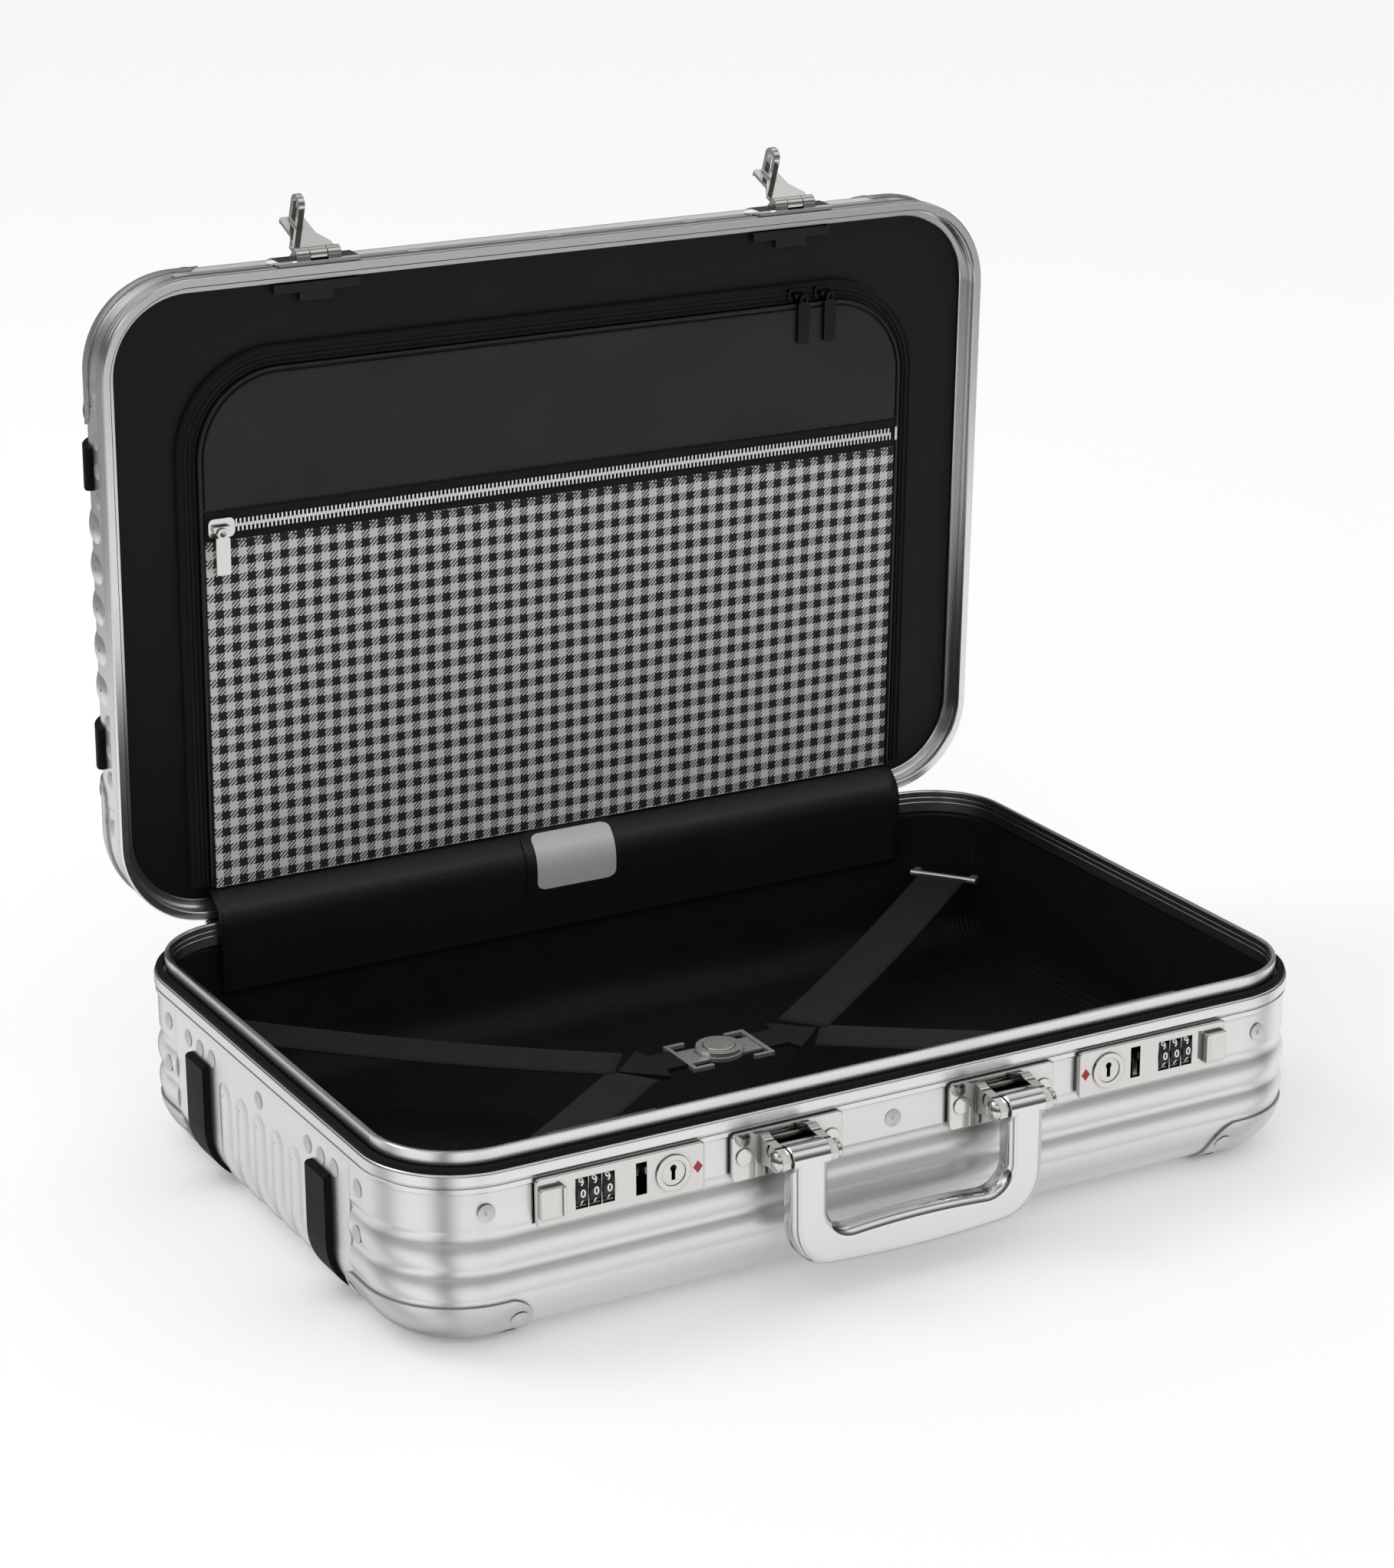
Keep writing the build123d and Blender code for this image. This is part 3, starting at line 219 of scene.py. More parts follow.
# ------------------------------------------------------------------ kinds of material
def metal(name, color, rough, metallic=1.0, brushed=None, bevel=0.0, bump=0.03, aniso=0.0,
          painted_shade_reach=0.0035, dark=0.22, axis="Z"):
    """Metal with roughness between the two of rough, with painted shade darkening its hollows and
    seams.

    brushed is the noise scale per axis, painted_shade_reach the reach of that painted shade in
    metres, dark its deepest factor and axis the one the anisotropic sheen runs round.
    """
    m = Mat(name, color, metallic, rough[0])
    if aniso:
        m.set("Anisotropic", aniso)
        m.set("Anisotropic Rotation", 0.25)
        tangent = m.node("Tangent", direction_type="RADIAL", axis=axis)
        m.set("Tangent", tangent.outputs[0])
    if bevel:
        m.bevel(bevel)
    if brushed:
        lines = m.noise(scale=1.0, detail=4.0, rough=0.6, vector=m.stretched(brushed))
        m.set("Roughness", m.span(lines, *rough))
        m.bump(lines, bump, distance=0.0003)
    else:
        m.set("Roughness", m.span(m.noise(scale=90.0), *rough))
        m.bump(m.noise(scale=900.0, detail=2.0), bump, distance=0.0001)
    base = m.mix(m.noise(scale=7.0, detail=2.0), shade(color, 0.95), shade(color, 1.03))
    # painted shade: ambient occlusion darkens the base colour in hollows and between parts, down
    # to dark
    occlusion = m.node("AmbientOcclusion", samples=4)
    occlusion.inputs["Distance"].default_value = painted_shade_reach
    light = m.span(occlusion.outputs["AO"], low=dark, high=1.0, start=0.30, end=0.85)
    m.set("Base Color", m.mix(1.0, base, light, blend="MULTIPLY"))
    return m.material


def leather(name, color, rough, grain=700.0, bump=0.25, specular=0.3, soft=0.0):
    """Grained leather; soft is the height (m) of its slow waves."""
    m = Mat(name, color, rough=rough)
    m.set("Specular IOR Level", specular)
    if soft:
        m.bump(m.noise(scale=9.0, detail=1.0), strength=0.6, distance=soft)
    cells = m.voronoi(grain)
    creases = m.noise(scale=grain * 0.35, detail=5.0)
    m.bump(m.math("ADD", cells, m.math("MULTIPLY", creases, 0.8)), bump, distance=0.0003)
    m.set("Roughness", m.span(m.noise(scale=35.0), rough - 0.06, rough + 0.08))
    m.set("Base Color", m.mix(m.noise(scale=18.0), shade(color, 0.8), shade(color, 1.25)))
    return m.material


def fabric(name, color, pitch, bump, rough, sheen, axes=("X", "Y"), soft=0.0):
    """Cloth ribbed along two axes; soft is the height (m) of its slow waves."""
    m = Mat(name, color, rough=rough)
    m.set("Sheen Weight", sheen)
    m.set("Sheen Roughness", 0.5)
    m.set("Specular IOR Level", 0.2)
    if soft:
        m.bump(m.noise(scale=11.0, detail=1.5), strength=0.7, distance=soft)
    place = m.separate(m.position())
    waves = [m.math("SINE", m.math("MULTIPLY", place[axis], 2 * math.pi / pitch))
             for axis in axes]
    m.bump(m.math("ADD", *waves), bump, distance=0.0001)
    tone = m.noise(scale=60.0, detail=4.0)
    m.set("Base Color", m.mix(tone, shade(color, 0.75), shade(color, 1.3)))
    return m.material


def plain(name, color, rough, grain, bump, detail=2.0, bevel=0.0, specular=0.5, metallic=0.0,
          tones=None):
    """Even surface with a fine grain; tones are two colours it drifts between."""
    m = Mat(name, color, metallic, rough)
    m.set("Specular IOR Level", specular)
    if bevel:
        m.bevel(bevel)
    m.bump(m.noise(scale=grain, detail=detail), bump, distance=0.0001)
    if tones:
        m.set("Base Color", m.mix(m.noise(scale=40.0), *tones))
    return m.material


def housing_plastic(name):
    """Black plastic given a painted highlight that makes its top grey, and painted shade in two
    dark pockets of each housing top (m).
    """
    housing_x, pocket_offset, pocket_half_x = 0.136, 0.0140, 0.0120
    pocket_y, pocket_half_y = -0.1425, 0.0030
    lit_top_z = 0.0868
    m = Mat(name, color=(0.01, 0.01, 0.01), rough=0.34)
    m.set("Specular IOR Level", 0.45)
    m.bevel(0.0006)
    place = m.separate(m.position())

    def distance(value, center):
        return m.math("ABSOLUTE", m.math("SUBTRACT", value, center))

    from_housing = distance(m.math("ABSOLUTE", place["X"]), housing_x)
    in_x = m.math("LESS_THAN", distance(from_housing, pocket_offset), pocket_half_x)
    in_y = m.math("LESS_THAN", distance(place["Y"], pocket_y), pocket_half_y)
    top = m.math("GREATER_THAN", place["Z"], lit_top_z)
    pocket = m.product([in_x, in_y, top])
    # painted highlight: the top face is made a lit grey
    body = m.mix(top, (0.006, 0.006, 0.006), (0.075, 0.075, 0.076))
    # painted shade: the two pockets in each top are near black
    m.set("Base Color", m.mix(pocket, body, (0.002, 0.002, 0.002)))
    m.set("Roughness", m.span(m.noise(scale=60.0, detail=2.0), low=0.30, high=0.42))
    return m.material


def houndstooth(name):
    """Black and white twill check woven along X and Z."""
    repeat = 16.0              # threads in one repeat of the check
    dark_threads = 8.0
    thread = 0.00834 / 16      # thread width (m)
    shift = 4000.0             # whole repeats that keep thread counts above zero
    m = Mat(name, rough=0.85)
    m.set("Sheen Weight", 0.15)
    place = m.separate(m.position())
    drift = m.math("SUBTRACT", m.noise(scale=25.0, detail=2.0), 0.5)
    wander = m.math("MULTIPLY", drift, 0.0012)

    def thread_count(axis):
        moved = m.math("ADD", place[axis], wander)
        return m.math("ADD", m.math("DIVIDE", moved, thread), shift)

    def below(value, period, limit):
        return m.math("LESS_THAN", m.math("MODULO", value, period), limit)

    across, upward = thread_count("X"), thread_count("Z")
    column, row = m.math("FLOOR", across), m.math("FLOOR", upward)
    dark_column = below(column, repeat, dark_threads)
    dark_row = below(row, repeat, dark_threads)
    diagonal = m.math("ADD", m.math("SUBTRACT", column, row), 2 * shift)
    twill = below(diagonal, 4.0, 2.0)
    dark = m.math("ADD", m.math("MULTIPLY", dark_column, twill),
                  m.math("MULTIPLY", dark_row, m.math("SUBTRACT", 1.0, twill)))
    light = m.mix(m.noise(scale=2200.0), (0.42, 0.42, 0.41), (0.80, 0.80, 0.78))
    m.set("Base Color", m.mix(dark, light, (0.006, 0.006, 0.007)))
    ridges = [m.math("ABSOLUTE", m.math("SINE", m.math("MULTIPLY", count, math.pi)))
              for count in (across, upward)]
    m.bump(m.math("ADD", *ridges), strength=0.4, distance=0.0002)
    return m.material


# ------------------------------------------------------------------ materials
SHEET_LOOK = dict(color=(0.86, 0.86, 0.855), rough=(0.30, 0.40), bevel=0.0010, bump=0.035,
                  painted_shade_reach=0.0014, dark=0.30)
FRAME_LOOK = dict(color=(0.78, 0.78, 0.775), rough=(0.2, 0.30), bump=0.03, aniso=0.4,
                  painted_shade_reach=0.002, dark=0.12)
SHEET = metal("m_sheet", brushed=(14, 300, 600), aniso=0.5, **SHEET_LOOK)
SHEET_BAND = metal("m_sheet_fb", brushed=(10, 10, 900), aniso=0.7, **SHEET_LOOK)
LID_SHEET = metal("m_lidsheet", brushed=(14, 600, 300), aniso=0.5, axis="Y", **SHEET_LOOK)
FRAME = metal("m_frame", brushed=(20, 20, 1500), **FRAME_LOOK)
LID_FRAME = metal("m_lidframe", brushed=(20, 1500, 20), axis="Y", **FRAME_LOOK)
NICKEL = metal("m_nickel", color=(0.68, 0.67, 0.65), rough=(0.05, 0.10), bevel=0.0004,
               painted_shade_reach=0.0025, dark=0.12)
CAP = metal("m_cap", color=(0.70, 0.70, 0.695), rough=(0.30, 0.40), bump=0.05,
            painted_shade_reach=0.003, dark=0.4)
RIVET = metal("m_rivet", color=(0.74, 0.74, 0.73), rough=(0.48, 0.56), bump=0.01,
              painted_shade_reach=0.0016, dark=0.14)
BRACKET = metal("m_bracket", color=(0.70, 0.69, 0.67), rough=(0.04, 0.09), bevel=0.0004,
                painted_shade_reach=0.007, dark=0.03)
CHROME = metal("m_chrome", color=(0.76, 0.755, 0.74), rough=(0.03, 0.06), bump=0.004,
               painted_shade_reach=0.003)
STEEL = metal("m_steel", color=(0.55, 0.55, 0.55), rough=(0.22, 0.32), bevel=0.0003)
GUN = metal("m_gun", color=(0.88, 0.87, 0.84), rough=(0.18, 0.28), metallic=0.85,
            bevel=0.0003, painted_shade_reach=0.0015, dark=0.12)
ZIP_METAL = metal("m_zipmetal", color=(0.80, 0.79, 0.76), rough=(0.18, 0.28),
                  painted_shade_reach=0.0012, dark=0.05)
LEATHER = leather("m_leather", color=(0.0080, 0.0080, 0.0083), rough=0.34, specular=0.42)
STRAP = leather("m_strap", color=(0.0030, 0.0029, 0.0028), rough=0.48, grain=600.0,
                bump=0.12, specular=0.10)
PAD = leather("m_padleather", color=(0.0080, 0.0080, 0.0083), rough=0.38, grain=900.0,
              bump=0.12, specular=0.42, soft=0.020)
BOARD = leather("m_board", color=(0.0062, 0.0062, 0.0065), rough=0.50, grain=1400.0,
                bump=0.15, specular=0.25)
LINING = fabric("m_lining", color=(0.0080, 0.0080, 0.0084), pitch=0.0016, bump=0.9,
                rough=0.46, sheen=0.02, axes=("X", "X"), soft=0.020)
WEB = fabric("m_web", color=(0.0125, 0.0125, 0.0135), pitch=0.0009, bump=0.6, rough=0.65,
             sheen=0.05)
TAPE = fabric("m_tape", color=(0.0095, 0.0095, 0.0100), pitch=0.0008, bump=0.5, rough=0.8,
              sheen=0.03, axes=("X", "Z"))
BLACK_PLASTIC = plain("m_blackplastic", color=(0.010, 0.010, 0.011), rough=0.36,
                      specular=0.3, bevel=0.0004, grain=1500.0, detail=3.0, bump=0.12)
HOUSING = housing_plastic("m_housing")
SEAL = plain("m_seal", color=(0.005, 0.005, 0.005), rough=0.6, specular=0.15,
             grain=800.0, detail=3.0, bump=0.1)
BLACK_PAINT = metal("m_blackpaint", color=(0.03, 0.03, 0.032), rough=(0.25, 0.36),
                    bevel=0.0003)
DIAL = plain("m_dial", color=(0.012, 0.012, 0.012), rough=0.35, bevel=0.0003,
             grain=1200.0, bump=0.06)
WHITE = plain("m_white", color=(0.85, 0.85, 0.83), rough=0.45, grain=900.0, bump=0.03)
RED = plain("m_red", color=(0.35, 0.01, 0.02), rough=0.35, grain=900.0, bump=0.03)
LABEL = plain("m_label", color=(0.60, 0.60, 0.60), rough=0.40, metallic=0.25,
              bevel=0.0003, grain=1400.0, detail=3.0, bump=0.06,
              tones=((0.56, 0.56, 0.56), (0.66, 0.66, 0.65)))
THREAD = plain("m_thread", color=(0.02, 0.02, 0.02), rough=0.6, grain=2500.0, bump=0.3)
HOUNDSTOOTH = houndstooth("m_houndstooth")


# ------------------------------------------------------------------ CAD pieces
def paint(material, *names):
    for name in names:
        materials = nodes[name].data.materials
        materials.clear()
        materials.append(material)


paint(SHEET, "base_shell")
paint(SHEET_BAND, "base_front_band", "base_back_band")
paint(LID_SHEET, "lid_shell", "lid_front_band", "lid_back_band")
paint(FRAME, "base_frame")
paint(LID_FRAME, "lid_frame")
paint(CAP, "base_corner_caps", "lid_corner_caps")
paint(RIVET, "base_rivets", "lid_rivets")
paint(NICKEL, "lock_plates", "handle_pins", "hasp_left", "hasp_right", "hasp_brackets",
      "slider_button_left", "slider_button_right", "key_cylinder_left", "key_cylinder_right")
paint(BRACKET, "handle_brackets")
paint(CHROME, "handle")
paint(STEEL, "hinge_base_leaf", "hinge_lid_leaf", "hinge_pin", "hasp_pins", "dial_axles",
      "latch_bolt_left", "latch_bolt_right")
paint(GUN, "strap_anchors", "buckle_frame", "buckle_button")
paint(SEAL, "base_seal")
paint(STRAP, "base_straps", "lid_straps")
paint(LINING, "base_lining")
paint(BOARD, "lid_lining")
paint(WEB, "cross_straps")
paint(LEATHER, "strap_tabs", "hinge_flap")
paint(PAD, "pocket_panel")
paint(HOUNDSTOOTH, "houndstooth_panel")
paint(BLACK_PLASTIC, "catch_covers")
paint(HOUSING, "lock_housings")
paint(TAPE, "coil_zipper", "zipper_chain")
paint(ZIP_METAL, "zipper_slider", "zipper_pull")
paint(BLACK_PAINT, "coil_slider_1", "coil_slider_2", "coil_pull_1", "coil_pull_2")
paint(DIAL, *[name for name in nodes if name.startswith(("dial_left", "dial_right"))])


# ------------------------------------------------------------------ mesh helpers
def link_object(name, mesh, material):
    obj = bpy.data.objects.new(name, mesh)
    scene.collection.objects.link(obj)
    mesh.materials.append(material)
    return obj


def make(name, verts, faces, material, smooth=True):
    mesh = bpy.data.meshes.new(name)
    mesh.from_pydata([tuple(v) for v in verts], [], faces)
    mesh.validate()
    mesh.update()
    bm = bmesh.new()
    bm.from_mesh(mesh)
    bmesh.ops.recalc_face_normals(bm, faces=bm.faces)
    bm.to_mesh(mesh)
    bm.free()
    if smooth:
        mesh.polygons.foreach_set("use_smooth", [True] * len(mesh.polygons))
    return link_object(name, mesh, material)


def attach(obj, carrier):
    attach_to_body(obj, carrier)


def lid_boxes(name, boxes, material):
    """Boxes in the lid, each (x0, x1, y0, y1, z0, z1) in closed-lid mm."""
    verts, faces = [], []
    for x0, x1, y0, y1, z0, z1 in boxes:
        first = len(verts)
        verts += [lid_point(x, y, z) for x in (x0, x1) for y in (y0, y1) for z in (z0, z1)]
        for face in ((0, 1, 3, 2), (4, 6, 7, 5), (0, 4, 5, 1), (2, 3, 7, 6), (0, 2, 6, 4),
                     (1, 5, 7, 3)):
            faces.append([first + i for i in face])
    return make(name, verts, faces, material, smooth=False)


def sheet(name, profile, stations, thickness, material):
    """Closed sheet along X: profile of (y, z) mid-line points, stations of x, all in mm."""
    count = len(profile)
    normals = []
    for i in range(count):
        before = profile[max(0, i - 1)]
        after = profile[min(count - 1, i + 1)]
        dy, dz = after[0] - before[0], after[1] - before[1]
        length = math.hypot(dy, dz)
        normals.append((-dz / length, dy / length))
    # down one face and back up the other
    loop = [(i, 1) for i in range(count)] + [(i, -1) for i in range(count - 1, -1, -1)]
    half = thickness / 2
    verts, faces = [], []
    for x in stations:
        for i, side in loop:
            verts.append(mm(x, profile[i][0] + normals[i][0] * half * side,
                            profile[i][1] + normals[i][1] * half * side))
    ring = len(loop)
    for j in range(len(stations) - 1):
        here, there = j * ring, (j + 1) * ring
        for i in range(ring):
            i2 = (i + 1) % ring
            faces.append((here + i, here + i2, there + i2, there + i))
    for j in (0, len(stations) - 1):
        end = j * ring
        for i in range(count - 1):
            faces.append((end + i, end + i + 1, end + ring - 2 - i, end + ring - 1 - i))
    return make(name, verts, faces, material)


def tube(name, points, radius, material, sides=8):
    """Capped round tube along points (m); radius in mm."""
    verts, faces = [], []
    count = len(points)
    for i, point in enumerate(points):
        along = (points[min(count - 1, i + 1)] - points[max(0, i - 1)]).normalized()
        across = along.cross(Vector((0, 1, 0)))
        across.normalize()
        other = along.cross(across)
        for k in range(sides):
            turn = 2 * math.pi * k / sides
            verts.append(point + across * (radius / 1000 * math.cos(turn))
                         + other * (radius / 1000 * math.sin(turn)))
    for i in range(count - 1):
        here, there = i * sides, (i + 1) * sides
        for k in range(sides):
            k2 = (k + 1) % sides
            faces.append((here + k, here + k2, there + k2, there + k))
    faces.append(tuple(range(sides)))
    faces.append(tuple(range((count - 1) * sides, count * sides)))
    return make(name, verts, faces, material)


def spline(points, steps):
    """Catmull-Rom curve through the points."""
    curve = []
    last = len(points) - 1
    for i in range(last):
        p0, p1, p2, p3 = points[max(0, i - 1)], points[i], points[i + 1], points[min(last, i + 2)]
        for j in range(steps):
            t = j / steps
            curve.append(tuple(
                0.5 * (2 * b + (c - a) * t + (2 * a - 5 * b + 4 * c - d) * t * t
                       + (3 * b - a - 3 * c + d) * t ** 3)
                for a, b, c, d in zip(p0, p1, p2, p3)))
    curve.append(tuple(points[-1]))
    return curve


# ------------------------------------------------------------------ leather flap over the hinge
FLAP_WIDTH = 380
FLAP_STEPS = 76
FLAP_THICKNESS = 1.5
# (y, z) down the flap from its lid edge to its base edge
FLAP_OUTLINE = [
    (158.6, 106.4), (155.6, 105.4), (151.6, 102.6), (148.0, 98.6), (146.0, 93.4),
    (145.6, 87.0), (146.2, 76.0), (147.0, 66.0), (147.6, 57.0),
]
FLAP_PROFILE = spline(FLAP_OUTLINE, steps=6)


def bend_with_flap(obj):
    """Bake the object's transform into its mesh."""
    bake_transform(obj)


def hinge_flap():
    stations = [-FLAP_WIDTH / 2 + FLAP_WIDTH * i / FLAP_STEPS for i in range(FLAP_STEPS + 1)]
    flap = sheet("hinge_flap_leather", FLAP_PROFILE, stations, FLAP_THICKNESS, LEATHER)
    bend_with_flap(flap)
    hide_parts("hinge_flap")


def flap_patch(name, half_width, first, last, lift, thickness, material, corner):
    """Rounded patch on the front of the flap, between profile points first and last.

    lift is the height of its underside over the flap's mid-line.
    """
    rows, columns = 24, 8
    line = FLAP_PROFILE[first:last + 1]
    lengths = [0.0]
    for start, end in zip(line, line[1:]):
        lengths.append(lengths[-1] + math.hypot(end[0] - start[0], end[1] - start[1]))
    total = lengths[-1]

    def place(length):
        """Point and forward normal at a length down the line."""
        length = max(0.0, min(total, length))
        for k in range(len(lengths) - 1):
            if length <= lengths[k + 1] + 1e-9:
                part = (length - lengths[k]) / max(1e-9, lengths[k + 1] - lengths[k])
                dy, dz = line[k + 1][0] - line[k][0], line[k + 1][1] - line[k][1]
                size = math.hypot(dy, dz)
                return line[k][0] + dy * part, line[k][1] + dz * part, dz / size, -dy / size

    verts, faces = [], []
    for height in (lift, lift + thickness):
        for j in range(rows + 1):
            length = total * j / rows
            edge = min(length, total - length)
            half = half_width
            if edge < corner:
                rise = math.sqrt(max(0.0, corner * corner - (corner - edge) ** 2))
                half = half_width - corner + rise
            y, z, normal_y, normal_z = place(length)
            for k in range(columns + 1):
                x = -half + 2 * half * k / columns
                verts.append(mm(x, y + normal_y * height, z + normal_z * height))
    row = columns + 1
    top = len(verts) // 2
    for j in range(rows):
        for k in range(columns):
            a = j * row + k
            quad = (a, a + 1, a + row + 1, a + row)
            faces.append(quad)
            faces.append(tuple(top + i for i in quad))
    for j in range(rows):
        for k in (0, columns):
            a = j * row + k
            faces.append((a, a + row, top + a + row, top + a))
    for k in range(columns):
        for j in (0, rows):
            a = j * row + k
            faces.append((a, a + 1, top + a + 1, top + a))
    patch = make(name, verts, faces, material, smooth=False)
    bend_with_flap(patch)


hinge_flap()
flap_patch("label_leather", half_width=27.5, first=4, last=37, lift=0.9, thickness=0.7,
           material=LEATHER, corner=7.0)
flap_patch("label_plate", half_width=22.0, first=8, last=34, lift=1.65, thickness=0.4,
           material=LABEL, corner=4.0)

# ------------------------------------------------------------------ crossed straps in the base
TAB_X, TAB_Z = 40.0, 41.5                         # where a strap meets its tab
ANCHOR_X, ANCHOR_Y, ANCHOR_Z = 208.0, 129.0, 50.0
WEB_WIDTH = 25.2
WEB_HALF_THICKNESS = 0.65
WEB_EDGE = 0.75                                   # share of the thickness left at the edges
WEB_SAG = 2.2
TAB_GAP, ANCHOR_GAP = 12.5, 1.5                   # cut from the strap at its ends
CROSS_OFFSET, CROSS_ROWS = 0.25, 6                # height offset fading out from the tab


def webbing(name, side_x, side_y):
    """Sagging strap from its tab near the middle to a corner anchor."""
    steps, columns = 40, 8
    tab = Vector((side_x * TAB_X, 0, TAB_Z))
    run = Vector((side_x * ANCHOR_X, side_y * ANCHOR_Y, ANCHOR_Z)) - tab
    length = run.length
    along = run.normalized()
    across = Vector((-along.y, along.x, 0)).normalized()
    upward = along.cross(across).normalized()
    verts, faces = [], []
    for j in range(steps + 1):
        reach = TAB_GAP + (length - TAB_GAP - ANCHOR_GAP) * j / steps
        sag = -WEB_SAG * math.sin(math.pi * j / steps)
        offset = CROSS_OFFSET * side_y * max(0.0, 1 - j / CROSS_ROWS)
        center = tab + along * reach + upward * (sag + offset)
        for layer in (WEB_HALF_THICKNESS, -WEB_HALF_THICKNESS):
            for k in range(columns + 1):
                width = -WEB_WIDTH / 2 + WEB_WIDTH * k / columns
                edge = WEB_EDGE if k in (0, columns) else 1.0
                verts.append((center + across * width + upward * (layer * edge)) / 1000)
    lower = columns + 1
    ring = 2 * lower
    for j in range(steps):
        for k in range(columns):
            for a in (j * ring + k, j * ring + lower + k):
                faces.append((a, a + 1, a + ring + 1, a + ring))
        for k in (0, columns):
            a, b = j * ring + k, j * ring + lower + k
            faces.append((a, b, b + ring, a + ring))
    for j in (0, steps):
        for k in range(columns):
            a, b = j * ring + k, j * ring + lower + k
            faces.append((a, a + 1, b + 1, b))
    strap = make(name, verts, faces, WEB)
    attach(strap, "base")
    return strap


straps = [webbing("webbing_%d" % number, side_x, side_y) for number, (side_x, side_y)
          in enumerate(((1, 1), (1, -1), (-1, 1), (-1, -1)), 1)]
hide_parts("cross_straps")

# ------------------------------------------------------------------ metal zipper in the lid
CHAIN_Y = -38.0
PANEL_Z = 88.6
CHAIN_START, CHAIN_LENGTH = -184.5, 370
TOOTH_PITCH, TOOTH_HALF_WIDTH = 1.05, 0.42
TOOTH_REACH, TOOTH_OVERLAP = 3.0, 0.7             # from the middle: own side, far side
TOOTH_Z = (PANEL_Z - 0.55, PANEL_Z + 0.5)


def zipper():
    boxes = []
    for i in range(int(CHAIN_LENGTH / TOOTH_PITCH)):
        x = CHAIN_START + i * TOOTH_PITCH
        if i % 2:
            y_span = (CHAIN_Y - TOOTH_OVERLAP, CHAIN_Y + TOOTH_REACH)
        else:
            y_span = (CHAIN_Y - TOOTH_REACH, CHAIN_Y + TOOTH_OVERLAP)
        boxes.append((x - TOOTH_HALF_WIDTH, x + TOOTH_HALF_WIDTH, *y_span, *TOOTH_Z))
    attach(lid_boxes("zipper_teeth", boxes, ZIP_METAL), "lid")
    tape_box = (-187, 187, CHAIN_Y - 6.8, CHAIN_Y + 6.8, PANEL_Z + 0.45, PANEL_Z + 1.28)
    tape = lid_boxes("zipper_tape", [tape_box], TAPE)
    attach(tape, "lid")
    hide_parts("zipper_chain")
    end_box = (186.8, 188.0, CHAIN_Y - 3.4, CHAIN_Y + 3.4, PANEL_Z - 0.7, PANEL_Z + 0.5)
    attach(lid_boxes("zipper_end", [end_box], ZIP_METAL), "lid")


zipper()

# ------------------------------------------------------------------ lines round the lid pocket
POCKET_BACK_Y = 140.5
# outermost U: half width, front edge and corner radius; coil lines are inset from it
COIL_HALF_WIDTH, COIL_FRONT_Y, COIL_CORNER = 198.0, -119.0, 49.5
# half width, line radius, z
COIL_LINES = [(192.6, 0.75, 92.2), (194.6, 0.75, 92.2), (190.2, 0.55, 92.0), (197.3, 0.5, 92.3)]


def pocket_path(half_width, front_y, corner, z, step=6.0, corner_steps=12):
    """U-shaped path, open towards the hinge, with rounded front corners."""
    side = POCKET_BACK_Y - front_y - corner
    front = 2 * half_width - 2 * corner
    side_steps = int(side / step)
    front_steps = int(front / step)
    turns = [math.radians(90 * i / corner_steps) for i in range(1, corner_steps + 1)]
    path = [(-half_width, POCKET_BACK_Y - side * i / side_steps) for i in range(side_steps + 1)]
    path += [(-half_width + corner - corner * math.cos(a),
              front_y + corner - corner * math.sin(a)) for a in turns]
    path += [(-half_width + corner + front * i / front_steps, front_y)
             for i in range(1, front_steps + 1)]
    path += [(half_width - corner + corner * math.sin(a),
              front_y + corner - corner * math.cos(a)) for a in turns]
    path += [(half_width, front_y + corner + side * i / side_steps)
             for i in range(1, side_steps + 1)]
    return [lid_point(x, y, z) for x, y in path]


def pocket_lines():
    for number, (half_width, radius, z) in enumerate(COIL_LINES, 1):
        inset = COIL_HALF_WIDTH - half_width
        path = pocket_path(half_width, COIL_FRONT_Y + inset, COIL_CORNER - inset, z)
        attach(tube("coil_line_%d" % number, path, radius, TAPE), "lid")
    path = pocket_path(half_width=188.6, front_y=-109.6, corner=40.1, z=89.6)
    attach(tube("pocket_piping", path, 1.1, LEATHER), "lid")


pocket_lines()

# ------------------------------------------------------------------ stitches beside the zipper
SEAM_LENGTH = 376
STITCH_PITCH, STITCH_LENGTH = 4.0, 2.6
STITCH_ROWS = ((-46.9, -46.4), (-30.0, -29.5))    # y range of each row
STITCH_Z = (88.35, 88.7)


def stitches():
    boxes = []
    for i in range(int(SEAM_LENGTH / STITCH_PITCH)):
        x = -SEAM_LENGTH / 2 + i * STITCH_PITCH
        boxes += [(x, x + STITCH_LENGTH, *row, *STITCH_Z) for row in STITCH_ROWS]
    attach(lid_boxes("stitches", boxes, THREAD), "lid")


stitches()

# ------------------------------------------------------------------ lock numbers and marks
DIAL_XS = (142.2, 148.5, 154.8)
DIAL_Y, DIAL_Z, DIAL_RADIUS = -151.4, 67.4, 8.0
DIGIT_LIFT = 0.02
MARK_X, MARK_Z, MARK_Y = 99.4, 67.0, -158.25      # middle of the mark's front face
MARK_HALF_WIDTH, MARK_HALF_HEIGHT, MARK_THICKNESS = 2.3, 2.9, 0.1


